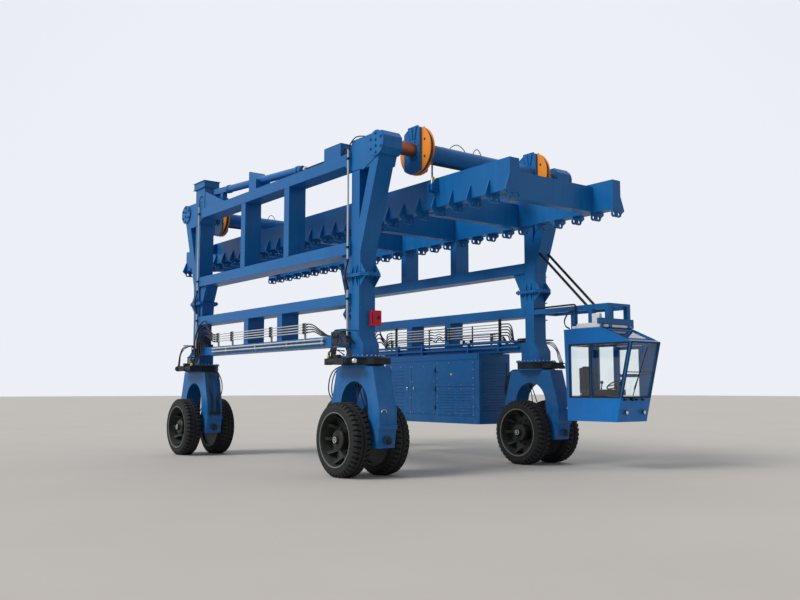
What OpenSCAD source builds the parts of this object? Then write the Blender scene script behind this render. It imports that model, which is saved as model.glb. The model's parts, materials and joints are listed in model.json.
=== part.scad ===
// Straddle carrier: two ladder side frames on four legs, cross tubes, a raised lifting spreader,
// twin-wheel steering units, an operator's cab ahead of the front left leg and a power cabinet.
// X points forward, Y to the left side, Z up. The origin is on the ground under the machine's centre.

/* [Layout] */
// Distance between the front and rear leg axes
wheelbase = 7260; // [6600:20:8000]
// Distance between the left and right leg axes
track = 4780; // [4500:20:5100]

/* [Legs] */
// Length of a leg's box section along X
leg_x = 270; // [200:10:330]
// Width of a leg's box section along Y
leg_y = 380; // [300:10:440]
// Height of the bolted flange joint in each leg
collar_z = 3840; // [3750:10:3950]
// Half length of the flange joint along X
collar_hx = 360; // [300:10:400]
// Half width of the flange joint along Y
collar_hy = 250; // [230:10:290]
// Thickness of one flange plate
flange_t = 30; // [20:5:40]
// Cut of the flange's front corners
collar_cut = 120; // [60:10:160]
// Height of the triangular gussets above and below the flange
gusset_h = 200; // [120:10:220]
// Height of the leg's base plate underside
leg_base_z = 2240; // [2180:10:2300]
// Half length of the widened foot of each leg
foot_hx = 270; // [230:10:300]
// Height where a leg meets its head block
leg_top_z = 5900; // [5860:10:5960]

/* [Side frames] */
// Width of the chords and posts along Y
chord_y = 420; // [380:10:440]
// Top of the uppermost chord
chord_top_z = 6290; // [6200:10:6290]
// Depth of the uppermost chord
chord_top_h = 240; // [180:10:300]
// Top of the second chord
chord_mid_z = 4510; // [4400:10:4600]
// Depth of the second chord
chord_mid_h = 240; // [180:10:300]
// Top of the third chord
chord_low_z = 3490; // [3420:10:3520]
// Depth of the third chord
chord_low_h = 215; // [160:5:260]
// Underside of the lowest chord
chord_base_z = 2490; // [2450:10:2560]
// Depth of the lowest chord
chord_base_h = 200; // [150:10:240]
// Distance of the upper posts from the middle
post_up_x = 1020; // [850:10:1250]
// Distance of the lower posts from the middle
post_low_x = 780; // [650:10:1000]
// Length of a post's section along X
post_x = 215; // [160:5:260]

/* [Cross tubes] */
// Distance of the cross tubes from the middle
tube_x = 4348; // [4250:1:4450]
// Height of the cross tubes' axis
tube_z = 6302; // [6250:1:6350]
// Outer diameter of the cross tubes
tube_d = 360; // [320:10:400]
// Diameter of the round end plates
end_plate_d = 490; // [440:10:520]
// Thickness of the round end plates
end_plate_t = 40; // [25:5:45]
// Length of the boxes that hold the tube ends, along X
head_x = 460; // [420:10:500]
// Reach of those boxes inward from the legs
head_in = 40; // [20:10:80]
// Length of an inclined strut's section along X
strut_w = 250; // [200:10:280]
// Height of the foot of the inclined struts
strut_foot_z = 4280; // [4250:10:4320]

/* [Sheaves] */
// Diameter of a rope sheave
sheave_d = 960; // [880:10:980]
// Diameter of the hoist ropes
rope_d = 34; // [24:2:40]
// Width of a rope sheave
sheave_w = 110; // [90:5:120]
// Distance of the sheaves from the middle plane
sheave_y = 1610; // [1600:5:1630]
// Diameter of the shafts that carry the sheaves
journal_d = 270; // [220:10:300]

/* [Spreader] */
// Half length of the lifting beams
beam_hx = 6800; // [6400:20:7200]
// Distance of the lifting beams from the middle plane
beam_y = 1384; // [1350:2:1420]
// Width of a lifting beam
beam_w = 234; // [200:2:260]
// Height of the cross tubes' axis over the raised beams
raised_gap = 612; // [560:2:640]
// Depth of the lifting beams
beam_h = 570; // [500:10:620]
// Number of lifting ears on each half of a beam
ear_n = 14; // [10:1:14]
// Thickness of a lifting ear
ear_t = 40; // [30:5:50]
// Diameter of the holes in the lifting ears
ear_hole_d = 70; // [50:2:80]
// Distance between the two holes of an ear
ear_hole_gap = 150; // [130:5:170]
// Distance of those holes below the beams
ear_hole_drop = 95; // [85:5:105]
// Travel of the spreader from its raised place
hoist_travel = 2500; // [1500:50:2600]

/* [Steering units] */
// Diameter of the slew ring over each steering unit
slew_d = 900; // [800:10:940]
// Height of the top of the steering yokes
yoke_top_z = 2070; // [2050:5:2090]
// Width of a yoke along Y
yoke_w = 400; // [320:10:410]
// Half length of a yoke at its top
yoke_hx_top = 600; // [560:10:640]
// Half length of a yoke at its feet
yoke_hx_foot = 820; // [780:10:830]
// Radius of the arch through a yoke
arch_r = 450; // [420:10:460]
// Diameter of a wheel axle's journals
axle_d = 180; // [140:10:200]
// Height of the pendulum axle's pin
pin_z = 700; // [690:5:720]

/* [Wheels] */
// Tyre diameter
tyre_d = 1400; // [1360:10:1440]
// Tyre width
tyre_w = 410; // [380:5:420]
// Distance of a tyre's outer face from the leg axis
tyre_out = 655; // [645:5:665]
// Diameter of the rim's outer ring
rim_d = 1080; // [1000:10:1120]

/* [Cab] */
// Rear face of the cab
cab_x = 4850; // [4800:10:4900]
// Length of the cab's floor
cab_floor_x = 1280; // [1200:10:1400]
// Length of the cab at the top of its front window
cab_nose_x = 1680; // [1600:10:1720]
// Length of the flat part of the roof
cab_roof_x = 970; // [900:10:1050]
// Inner side of the cab
cab_y = 2050; // [2030:5:2080]
// Width of the cab
cab_w = 960; // [930:5:965]
// Underside of the cab
cab_z = 985; // [960:5:1010]
// Height of the cab's window sill
cab_sill_z = 1500; // [1440:10:1560]
// Height of the window heads
cab_head_z = 2600; // [2560:10:2640]
// Top of the cab's roof
cab_top_z = 2910; // [2880:5:2920]
// Wall thickness of the cab
cab_t = 45; // [35:5:50]
// Lean of the cab's rear wall
cab_lean = 70; // [0:10:90]

/* [Power cabinet] */
// Front end of the power cabinet
power_x = 2330; // [2250:10:2380]
// Length of the power cabinet
power_l = 3700; // [3200:50:4000]
// Inner side of the power cabinet
power_y = 1840; // [1800:10:1900]
// Width of the power cabinet
power_w = 1000; // [850:10:1050]
// Underside of the power cabinet
power_z = 830; // [800:10:900]

/* [Hidden] */
$fn = 48;
fit = 0.3;

axle_x = wheelbase / 2;
leg_cy = track / 2;
inner_y = leg_cy - leg_y / 2;
frame_cy = inner_y + chord_y / 2;
outer_y = inner_y + chord_y;
chord_hx = axle_x - leg_x / 2;

// Side signs: [along X, along Y] for each corner
FR = [1, -1];
FL = [1, 1];
RR = [-1, -1];
RL = [-1, 1];
CORNERS = [FR, FL, RR, RL];

blue = [0.05, 0.22, 0.52];
cab_blue = [0.02, 0.38, 0.78];
dark = [0.10, 0.11, 0.12];
orange = [0.90, 0.50, 0.10];

// Moves a piece drawn for the front left corner, with its leg axis on Z, to a corner
module at_corner(c) {
    translate([c[0] * axle_x, c[1] * leg_cy, 0]) mirror([c[0] < 0 ? 1 : 0, 0, 0])
        mirror([0, c[1] < 0 ? 1 : 0, 0]) children();
}

// Moves a piece drawn for the left side to the side with sign s
module on_side(s) {
    mirror([0, s < 0 ? 1 : 0, 0]) children();
}

// Box between two corners
module block(a, b) {
    translate(a) cube(b - a);
}

// Plate drawn in the XZ plane and centred on the plane of y
module side_plate(y, t) {
    translate([0, y + t / 2, 0]) rotate([90, 0, 0]) linear_extrude(t) children();
}

// Plate drawn in the YZ plane and centred on the plane of x
module cross_plate(x, t) {
    translate([x - t / 2, 0, 0]) rotate([90, 0, 90]) linear_extrude(t) children();
}

// Round bar along Y
module bar_y(x, y0, y1, z, d) {
    translate([x, y1, z]) rotate([90, 0, 0]) cylinder(h = y1 - y0, d = d);
}

// Round bar along X
module bar_x(x0, x1, y, z, d) {
    translate([x0, y, z]) rotate([0, 90, 0]) cylinder(h = x1 - x0, d = d);
}

// Chords: [top, depth]
CHORDS = [[chord_top_z, chord_top_h], [chord_mid_z, chord_mid_h], [chord_low_z, chord_low_h],
    [chord_base_z + chord_base_h, chord_base_h]];

module chords(s) {
    color(blue) on_side(s) for (c = CHORDS)
        block([-chord_hx, inner_y, c[0] - c[1]], [chord_hx, outer_y, c[0]]);
}

// Posts: [distance from the middle, lower end, upper end]
POSTS = [[post_up_x, chord_mid_z, chord_top_z - chord_top_h],
    [post_low_x, chord_base_z + chord_base_h, chord_low_z - chord_low_h]];

// Gussets in the corners under the uppermost chord
corner_gusset = 200;

module posts(s) {
    color(blue) on_side(s) {
        for (p = POSTS) for (e = [-1, 1])
            translate([e * p[0] - post_x / 2, inner_y, p[1]]) cube([post_x, chord_y, p[2] - p[1]]);
        for (e = [0, 1]) mirror([e, 0, 0]) translate([0, frame_cy, 0]) side_plate(0, chord_y)
            polygon([[chord_hx, POSTS[0][2]], [chord_hx - corner_gusset, POSTS[0][2]],
                [chord_hx, POSTS[0][2] - corner_gusset * 0.75]]);
    }
}

// Plates of the bolted flange, with the front corners cut
module flange_plate(z) {
    translate([0, 0, z]) linear_extrude(flange_t) polygon([[-collar_hx, -collar_hy],
        [collar_hx - collar_cut, -collar_hy], [collar_hx, -collar_hy + collar_cut],
        [collar_hx, collar_hy - collar_cut], [collar_hx - collar_cut, collar_hy], [-collar_hx, collar_hy]]);
}

// Triangular gussets between a leg with its front at x and a flange face at z, above it (up = 1) or below
fin_t = 20;
fin_x = 70;
fin_front = 30;
fin_side = 5;

module fins(x, z, up) {
    for (y = [-1, 1]) side_plate(y * (leg_y / 2 - fin_t), fin_t)
        polygon([[x - 1, z], [collar_hx - fin_front, z], [x - 1, z + up * gusset_h]]);
    for (e = [-1, 1]) for (x = [-fin_x, fin_x]) cross_plate(x, fin_t)
        polygon([[e * (leg_y / 2 - 1), z], [e * (collar_hy - fin_side), z],
            [e * (leg_y / 2 - 1), z + up * gusset_h]]);
}

// Step of the box under a strut's foot, and the reach of the webs behind the leg
foot_step = 35;
web_hx = 320;
web_w = leg_y - 60;
web_flare = 200;
web_taper = 30;

module upper_leg() {
    z0 = collar_z + flange_t;
    zc = chord_mid_z - chord_mid_h;
    block([-leg_x / 2, -leg_y / 2, z0], [leg_x / 2, leg_y / 2, leg_top_z]);
    block([0, -leg_y / 2, z0], [leg_x / 2 + foot_step, leg_y / 2, strut_foot_z]);
    flange_plate(collar_z);
    fins(leg_x / 2 + foot_step, z0, 1);
    side_plate(0, web_w) polygon([[0, z0], [-web_hx, z0], [-web_hx - web_flare, zc], [0, zc]]);
}

module lower_leg() {
    z1 = collar_z - flange_t;
    block([-leg_x / 2, -leg_y / 2, leg_base_z], [leg_x / 2, leg_y / 2, z1]);
    flange_plate(z1);
    fins(leg_x / 2, z1, -1);
    side_plate(0, web_w)
        polygon([[0, z1], [-web_hx, z1], [-web_hx + web_taper, chord_low_z], [0, chord_low_z]]);
    translate([0, 0, leg_base_z]) cylinder(h = flange_t, d = slew_d);
    side_plate(0, leg_y) polygon([[-foot_hx, leg_base_z], [foot_hx, leg_base_z], [foot_hx, chord_base_z],
        [leg_x / 2, chord_base_z + chord_base_h], [0, chord_base_z + chord_base_h], [0, chord_base_z],
        [-foot_hx, chord_base_z]]);
}

module upper_legs() {
    color(blue) for (c = CORNERS) at_corner(c) upper_leg();
}

module lower_legs() {
    color(blue) for (c = CORNERS) at_corner(c) lower_leg();
}

// Head block over each leg, its knee plate, and the inclined strut under it
head_dx = tube_x - axle_x;
head_hz = 222;
head_front = head_dx + head_x / 2;
bevel_x = 90;
bevel_z = 110;
strut_foot_x = leg_x / 2 + foot_step;
strut_back = 168;
strut_top_x = head_front - strut_back;
strut_top_z = tube_z - head_hz;
strut_slope = (strut_top_x - strut_foot_x) / (strut_top_z - strut_foot_z);

// Front of a strut at the height z
function strut_x(z) = strut_foot_x + (z - strut_foot_z) * strut_slope;

module head_section() {
    polygon([[-leg_x / 2, leg_top_z], [strut_x(leg_top_z), leg_top_z], [strut_top_x, strut_top_z],
        [head_front - bevel_x, strut_top_z], [head_front, strut_top_z + bevel_z],
        [head_front, tube_z + head_hz - bevel_z], [head_front - bevel_x, tube_z + head_hz],
        [-leg_x / 2, tube_z + head_hz]]);
}

module strut_outline() {
    polygon([[leg_x / 2, strut_foot_z], [strut_foot_x, strut_foot_z], [strut_x(leg_top_z + 1), leg_top_z + 1],
        [strut_x(leg_top_z + 1) - strut_w, leg_top_z + 1],
        [leg_x / 2, strut_foot_z + (leg_x / 2 + strut_w - strut_foot_x) / strut_slope]]);
}

// Stub box with a cap on each rear head, and the open bracket in front of it that holds the hoist cylinder
stub_hx = 360;
stub_front = 170;
stub_z = 6880;
cap_h = 170;
cap_back = 10;
cap_side = 20;
cap_front = 90;
lip_t = 15;
lip_out = 20;
bracket_end = 1530;
bracket_drop = 130;

module rear_stub() {
    block([-stub_hx, -leg_y / 2, chord_top_z], [-leg_x / 2 + 1, leg_y / 2, stub_z]);
    block([-leg_x / 2, -leg_y / 2, tube_z], [stub_front, leg_y / 2, stub_z]);
    block([-stub_hx - cap_back, -leg_y / 2 - cap_side, stub_z],
        [stub_front + cap_front, leg_y / 2 + cap_side, stub_z + cap_h]);
    for (z = [stub_z, stub_z + cap_h])
        block([-stub_hx - cap_back - lip_out, -leg_y / 2 - cap_side - lip_out, z - lip_t],
            [stub_front + cap_front + lip_out, leg_y / 2 + cap_side + lip_out, z]);
    for (y = [-1, 1]) side_plate(y * (leg_y / 2 - fin_t), fin_t)
        polygon([[-stub_hx + 1, chord_top_z], [-bracket_end, chord_top_z],
            [-stub_hx + 1, stub_z - bracket_drop]]);
}

// Plate that ties the head, the strut and the leg on the outer side
knee_t = 12;
knee_lift = 10;
knee_drop = 20;
knee_x = 280;
knee_cut = 220;
knee_end = 120;

module corner_strut() {
    side_plate(0, leg_y) head_section();
    side_plate(0, leg_y) strut_outline();
    side_plate(leg_y / 2 + knee_t / 2 - 1, knee_t) polygon([[-leg_x / 2, leg_top_z + knee_lift],
        [leg_x / 2, leg_top_z + knee_lift], [knee_x, leg_top_z - knee_drop],
        [strut_top_x - knee_cut, leg_top_z + 100], [strut_top_x - 40, strut_top_z - knee_lift],
        [head_front - bevel_x, tube_z], [head_dx - knee_end, tube_z + head_hz],
        [-leg_x / 2, tube_z + head_hz]]);
    translate([head_dx, leg_y / 2 + end_plate_t, tube_z]) rotate([90, 0, 0])
        cylinder(h = end_plate_t, d = end_plate_d);
    side_plate(-leg_y / 2 - (head_in - 1) / 2, head_in + 1) intersection() {
        head_section();
        translate([head_dx - head_x / 2, 0]) square([head_x + 1, 2 * tube_z]);
    }
}

module corner_struts() {
    color(blue) for (c = CORNERS) at_corner(c) {
        corner_strut();
        if (c[0] < 0) rear_stub();
    }
}

// Cross tube between the sheaves, and the shafts that carry it and them
fork_t = 30;
groove = 40;
sheave_gap = 10;
rib_out = 17;
tube_end_y = sheave_y - sheave_w / 2 - sheave_gap - fork_t - rib_out;
head_end_y = inner_y - head_in;

module cross_tubes() {
    color(blue) for (e = [-1, 1]) bar_y(e * tube_x, -tube_end_y, tube_end_y, tube_z, tube_d);
}

module sheave_shafts() {
    color([0.55, 0.30, 0.20]) for (e = [-1, 1]) for (s = [-1, 1]) on_side(s)
        bar_y(e * tube_x, tube_end_y, head_end_y, tube_z, journal_d);
}

// Side plates of a sheave: a round plate cut straight in front and behind, with a fan of ribs over
// the hub, a bent rib from the hub to the lower tip, and a keeper on top
fork_r = sheave_d / 2 - sheave_gap;
fork_front = 215;
fork_rear = 300;
hub_r = journal_d / 2 + 60;
rib_t = 14;
FAN = [78, 96, 116];

module fork_outline() {
    intersection() {
        circle(r = fork_r);
        translate([-fork_rear, -fork_r]) square([fork_rear + fork_front, 2 * fork_r]);
    }
    translate([-fork_rear * 0.6, 0]) square([fork_rear * 0.6 + fork_front * 0.6, fork_r + 10]);
    circle(r = hub_r);
}

// Ribs on the outer face of a side plate
module fork_ribs() {
    circle(r = hub_r);
    for (a = FAN) rotate(a) translate([journal_d / 2, -rib_t / 2]) square([fork_r - journal_d / 2 - 10, rib_t]);
    polygon([[hub_r - 30, -40], [hub_r, -40], [fork_front - 40, 20 - fork_r], [fork_front - 70, 40 - fork_r]]);
    translate([fork_front - rib_t, -fork_r * 0.6]) square([rib_t, fork_r * 1.4]);
}

module sheave_forks() {
    color(blue) for (c = CORNERS) mirror([c[0] < 0 ? 1 : 0, 0, 0]) on_side(c[1])
        translate([tube_x, 0, tube_z]) for (i = [-1, 1]) {
            y = sheave_y + i * (sheave_w / 2 + fork_t / 2 + sheave_gap);
            difference() {
                union() {
                    side_plate(y, fork_t) fork_outline();
                    side_plate(y + i * (fork_t + rib_out - 1) / 2, rib_out + 1) fork_ribs();
                }
                bar_y(0, y - fork_t * 2, y + fork_t * 2, 0, journal_d + 2 * fit);
            }
        }
}

hole_n = 6;
hole_r = 340;

module sheaves(c) {
    color(orange) mirror([c[0] < 0 ? 1 : 0, 0, 0]) on_side(c[1])
        translate([tube_x, sheave_y, tube_z]) rotate([90, 0, 0]) difference() {
            rotate_extrude($fn = 96) polygon([[journal_d / 2 + fit, -sheave_w / 2],
                [sheave_d / 2, -sheave_w / 2], [sheave_d / 2, -rope_d], [sheave_d / 2 - groove, -rope_d / 2],
                [sheave_d / 2 - groove, rope_d / 2], [sheave_d / 2, rope_d], [sheave_d / 2, sheave_w / 2],
                [journal_d / 2 + fit, sheave_w / 2]]);
            for (i = [0 : hole_n - 1]) rotate(30 + i * 360 / hole_n) translate([hole_r, 0, -sheave_w])
                cylinder(h = 2 * sheave_w, d = 50, $fn = 16);
        }
}

// Slew ring, worm housing and motor over each steering unit
slew_z = yoke_top_z + 30;
spigot_d = 640;
spigot_top_z = leg_base_z - 25;
worm_l = 420;
worm_z = slew_z + 70;

module slew_drives() {
    color(dark) for (c = CORNERS) at_corner(c) {
        difference() {
            translate([0, 0, slew_z]) cylinder(h = leg_base_z - slew_z, d = slew_d - 60);
            translate([0, 0, slew_z - 1]) cylinder(h = spigot_top_z + 6 - slew_z, d = spigot_d + 2 * fit);
        }
        bar_x(-worm_l, worm_l / 2, slew_d / 2 + 40, worm_z, 120);
        bar_x(worm_l / 2 - 1, worm_l * 0.6, slew_d / 2 + 40, worm_z, 80);
        block([-150, slew_d / 2 - 80, worm_z - 65], [150, slew_d / 2 + 110, worm_z + 65]);
        block([slew_d / 2 - 80, -yoke_w / 2, worm_z - 60], [yoke_hx_top + 30, yoke_w / 2, worm_z + 60]);
    }
}

// Half outline of a yoke: [distance from the middle, height]
arch_z = 1345;
pin_d = 120;
pin_fit = 0.2;
pin_out = 20;
YOKE = [[yoke_hx_top, yoke_top_z], [yoke_hx_foot, 1270], [yoke_hx_foot, 1000], [yoke_hx_foot - 70, 560],
    [arch_r + 80, 560], [arch_r, arch_z]];
yoke_n = len(YOKE);

module yoke() {
    difference() {
        side_plate(0, yoke_w) difference() {
            polygon(concat(YOKE, [for (i = [1 : yoke_n]) [-YOKE[yoke_n - i][0], YOKE[yoke_n - i][1]]]));
            translate([0, arch_z]) circle(r = arch_r);
        }
        bar_x(-2 * yoke_hx_foot, 2 * yoke_hx_foot, 0, pin_z, pin_d);
    }
    for (e = [-1, 1]) block([e * (yoke_hx_foot - 60) - 75, -yoke_w / 2 - 8, 905],
        [e * (yoke_hx_foot - 60) + 75, yoke_w / 2 + 8, 985]);
    translate([0, 0, yoke_top_z]) cylinder(h = slew_z - yoke_top_z - 5, d = slew_d - 60);
    translate([0, 0, yoke_top_z]) cylinder(h = spigot_top_z - yoke_top_z, d = spigot_d);
    bar_x(-yoke_hx_foot - pin_out, yoke_hx_foot + pin_out, 0, pin_z, pin_d - pin_fit);
}

module yoke_at(c) {
    color(blue) at_corner(c) yoke();
}

// Axle beam that rocks on the yoke's long pin and carries a wheel on each end
tyre_in = tyre_out - tyre_w;
axle_block_x = 420;
axle_block_y = 150;
axle_drop = 140;
axle_rise = 160;
axle_end = 90;
axle_bore_d = pin_d + 1;

module axle_at(c) {
    color(dark) at_corner(c) difference() {
        union() {
            block([-axle_block_x, -axle_block_y, pin_z - axle_drop],
                [axle_block_x, axle_block_y, pin_z + axle_rise]);
            bar_y(0, -tyre_out + axle_end, tyre_out - axle_end, pin_z, axle_d);
        }
        bar_x(-2 * axle_block_x, 2 * axle_block_x, 0, pin_z, axle_bore_d);
    }
}

module rims_at(c) {
    color(dark) at_corner(c) for (s = [-1, 1]) on_side(s)
        translate([0, tyre_in, pin_z]) rotate([-90, 0, 0]) difference() {
            rotate_extrude($fn = 64) polygon([[axle_d / 2 + fit, 60], [300, 60], [rim_d / 2 - 60, 40],
                [rim_d / 2 - 60, 0], [rim_d / 2 - 20, 0], [rim_d / 2 - 20, tyre_w - 10],
                [rim_d / 2 - 50, tyre_w - 10], [rim_d / 2 - 60, 120], [180, 120],
                [180, tyre_w - 90], [axle_d / 2 + fit, tyre_w - 90]]);
        }
}

module tyres_at(c) {
    color([0.05, 0.05, 0.06]) at_corner(c) for (s = [-1, 1]) on_side(s)
        translate([0, tyre_in, pin_z]) rotate([-90, 0, 0]) rotate_extrude($fn = 64)
        polygon([[rim_d / 2 - 20 + fit, 0], [rim_d / 2 + 20, 0], [tyre_d / 2 - 60, 20],
            [tyre_d / 2, 60], [tyre_d / 2, tyre_w - 60], [tyre_d / 2 - 60, tyre_w - 20],
            [rim_d / 2 + 20, tyre_w], [rim_d / 2 - 20 + fit, tyre_w]]);
}

// Spreader
beam_top_z = tube_z - raised_gap;
beam_bot_z = beam_top_z - beam_h;
ear_pitch = (beam_hx - ear_t / 2 - 3) / (ear_n - 0.5);
EARS_X = [for (i = [0 : ear_n - 1], e = [-1, 1]) e * (i + 0.5) * ear_pitch];

// Lug on the outer side of a beam, under a hoist rope
rope_x = tube_x + sheave_d / 2 - groove + rope_d / 2;
lug_z = beam_top_z - 130;
lug_t = 25;
lug_gap = 90;
lug_pin_z = lug_z - 90;
lug_out = 60;
lug_drop = 20;
lug_clear = 30;
lug_pin_d = 60;
socket_d = 76;

module rope_lug(x) {
    y0 = beam_y + beam_w / 2 - 1;
    for (e = [-1, 1]) cross_plate(x + e * (lug_gap + lug_t) / 2, lug_t) polygon([[y0, beam_top_z - lug_drop],
        [y0 + lug_out, beam_top_z - lug_drop], [sheave_y + lug_out, lug_z - lug_drop],
        [sheave_y + lug_out, lug_pin_z - lug_out], [y0 + lug_out, beam_bot_z + fin_h + lug_clear],
        [y0, beam_bot_z + fin_h + lug_clear]]);
    pin = lug_gap / 2 + lug_t + 15;
    bar_x(x - pin, x + pin, sheave_y, lug_pin_z, lug_pin_d);
    translate([x, sheave_y, lug_pin_z]) cylinder(h = lug_z - lug_pin_z, d = socket_d);
}

module spreader_beams() {
    color(blue) for (s = [-1, 1]) on_side(s) {
        block([-beam_hx, beam_y - beam_w / 2, beam_bot_z], [beam_hx, beam_y + beam_w / 2, beam_top_z]);
        for (e = [-1, 1]) rope_lug(e * rope_x);
    }
}

// Places of the cross beams
cross_n = 3;
cross_x = 200;
cross_pitch = (beam_hx - 490 - cross_x / 2) / cross_n;
CROSS_X = [for (i = [-cross_n : cross_n]) i * cross_pitch];

module spreader_crossbeams() {
    color(blue) for (x = CROSS_X)
        block([x - cross_x / 2, -beam_y + beam_w / 2, beam_bot_z],
            [x + cross_x / 2, beam_y - beam_w / 2, beam_top_z - 60]);
}

// Lifting ear under a beam, with the fin that stiffens the beam's outer side
fin_w = 110;
fin_h = 250;
fin_top = 12;
ear_lip = 15;
ear_top_h = 25;
ear_hole_wall = 60;

module ear() {
    difference() {
        union() {
            polygon([[-beam_w / 2 - ear_lip, 0], [beam_w / 2 + fit, 0], [beam_w / 2 + fit, fin_h],
                [beam_w / 2 + fin_top, fin_h], [beam_w / 2 + fin_w, 0], [beam_w / 2 + fin_w, -ear_top_h],
                [ear_hole_gap / 2 + ear_hole_wall, -ear_hole_drop],
                [-ear_hole_gap / 2 - ear_hole_wall, -ear_hole_drop], [-beam_w / 2 - ear_lip, -ear_top_h]]);
            translate([-ear_hole_gap / 2, -ear_hole_drop - 62]) square([ear_hole_gap, 100]);
            for (s = [-1, 1]) translate([s * ear_hole_gap / 2, -ear_hole_drop]) circle(d = 130);
        }
        for (s = [-1, 1]) translate([s * ear_hole_gap / 2, -ear_hole_drop]) circle(d = ear_hole_d);
    }
}

module lifting_ears() {
    color(blue) for (s = [-1, 1]) on_side(s) for (x = EARS_X)
        cross_plate(x, ear_t) translate([beam_y, beam_bot_z]) ear();
}

// Hoist cylinders, which slope down forward over the uppermost chords. In a cylinder's own frame X runs
// along its axis from the rear end of the barrel.
cyl_x = -2240;
cyl_z = chord_top_z + 350;
cyl_tilt = 3.55;
barrel_d = 180;
barrel_l = 3590;
rod_d = 90;
eye_d = 100;
eye_l = 60;
rod_out = 90;
// Travel of a rod for each length of the spreader's travel
rod_ratio = 0.34;
rod_stroke = hoist_travel * rod_ratio;
rod_end = barrel_l + rod_out + eye_l;
rope_end_x = cyl_x + rod_end * cos(cyl_tilt);
rope_end_z = cyl_z - rod_end * sin(cyl_tilt);

module on_cylinder() {
    translate([cyl_x, frame_cy, cyl_z]) rotate([0, cyl_tilt, 0]) children();
}

// Saddle under the middle of a barrel
saddle_x = -800;
saddle_l = 350;
saddle_h = 470;
saddle_top_l = 60;
saddle_toe_h = 240;

// Clevis behind a barrel, and the foot that carries it on the chord
clevis_l = 700;
clevis_w = 140;
clevis_foot_l = 120;
clevis_foot_x = -320;
ring_l = 90;
ring_out = 15;
ring_back = 220;

// Open box at the front end of the pull ropes
box_x0 = 2440;
box_x1 = 3060;
box_wall = 20;
box_top_z = chord_top_z + 310;

module hoist_barrels() {
    color(blue) for (s = [-1, 1]) on_side(s) {
        difference() {
            union() {
                on_cylinder() {
                    bar_x(0, barrel_l, 0, 0, barrel_d);
                    for (x = [0, barrel_l - ring_back]) bar_x(x, x + ring_l, 0, 0, barrel_d + 2 * ring_out);
                    block([-clevis_l, -clevis_w / 2, -clevis_w / 2], [1, clevis_w / 2, clevis_w / 2]);
                }
                translate([cyl_x + clevis_foot_x, frame_cy - clevis_foot_l / 2, chord_top_z])
                    cube([clevis_foot_l, clevis_foot_l, cyl_z - chord_top_z]);
                translate([0, frame_cy, 0]) side_plate(0, chord_y - 40) polygon([[saddle_x, chord_top_z],
                    [saddle_x, chord_top_z + saddle_h], [saddle_x + saddle_top_l, chord_top_z + saddle_h],
                    [saddle_x + saddle_l, chord_top_z + saddle_toe_h], [saddle_x + saddle_l, chord_top_z]]);
            }
            on_cylinder() bar_x(100, barrel_l + 1, 0, 0, rod_d + 0.2);
        }
        difference() {
            block([box_x0, inner_y + 60, chord_top_z], [box_x1, outer_y - 60, box_top_z]);
            block([box_x0 - 1, inner_y + 60 + box_wall, chord_top_z + box_wall],
                [box_x1 - box_wall, outer_y - 60 - box_wall, box_top_z + 1]);
        }
    }
}

module rod(s) {
    color([0.8, 0.8, 0.82]) on_side(s) on_cylinder() {
        bar_x(barrel_l - rod_stroke - 300, barrel_l + rod_out, 0, 0, rod_d);
        bar_x(barrel_l + rod_out - 1, rod_end, 0, 0, eye_d);
    }
}

module pull_ropes() {
    color(dark) for (s = [-1, 1]) on_side(s)
        bar_x(rope_end_x + 5 * fit, box_x1 - box_wall - fit, frame_cy, rope_end_z, rope_d);
}

module hoist_ropes() {
    color(dark) for (e = [-1, 1]) for (s = [-1, 1])
        translate([e * rope_x, s * sheave_y, lug_z]) cylinder(h = tube_z - lug_z, d = rope_d);
}

// Conduits on the legs, pipes along the lowest chords with their clamps, and the box on the cab's roof
conduit_d = 40;
CONDUITS = [[collar_z + 300, tube_z + 60], [chord_base_z + 110, collar_z - 240]];
PIPES = [for (i = [0 : 3]) [-2300, 2000, chord_base_z + 320 + 55 * i, 22]];
RAILS = [for (i = [0 : 1]) [-2450, 2650, chord_base_z + 75 + 75 * i, 34]];
PIPE_CLAMPS = [-2150, -1400, 480, 1900];
RAIL_CLAMPS = [-1720, -260, 1160, 2560];
pipe_y = outer_y + 45;

module service_pipes() {
    color([0.75, 0.76, 0.76]) {
        for (s = [-1, 1]) on_side(s) {
            for (e = [-1, 1]) translate([e * (axle_x - leg_x / 2 - 40), outer_y + conduit_d / 2, 0])
                for (c = CONDUITS) translate([0, 0, c[0]]) cylinder(h = c[1] - c[0], d = conduit_d);
            for (p = concat(PIPES, RAILS)) bar_x(p[0], p[1], pipe_y, p[2], p[3]);
            for (x = RAIL_CLAMPS)
                block([x - 12, outer_y, RAILS[0][2] - 30], [x + 12, pipe_y, RAILS[1][2] + 30]);
            for (x = PIPE_CLAMPS) {
                block([x - 30, pipe_y - 25, PIPES[0][2] - 35], [x + 30, pipe_y + 25, PIPES[3][2] + 35]);
                block([x - 12, outer_y, chord_base_z + chord_base_h - 30], [x + 12, pipe_y, PIPES[0][2]]);
            }
        }
        block([cab_x + 130, inner_y + sup_w + 20, cab_top_z], [cab_x + 750, sup_y1 - 20, cab_top_z + 130]);
    }
}

// Power cabinet: a closed body with doors, panels and louvres on the side of the load bay
skin_t = 12;
sill_h = 130;
grille_x = power_x - 40;
door_top_z = chord_base_z - 240;

// Distances of the doors' and panels' ends from the cabinet's front end
door_back = 3430;
door_split = 2540;
door_seam = 5;
door_front = 1600;
panel_back = 1540;
panel_front = 150;
panel_h = 540;
panel_seam = 20;
door_lift = 70;
panel_lift = 50;
panel_over = 60;
louvre_in = 110;
louvre_end = 2870;
louvre_mid = 880;
louvre_gap = 80;
louvre_rim = 40;

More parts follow.
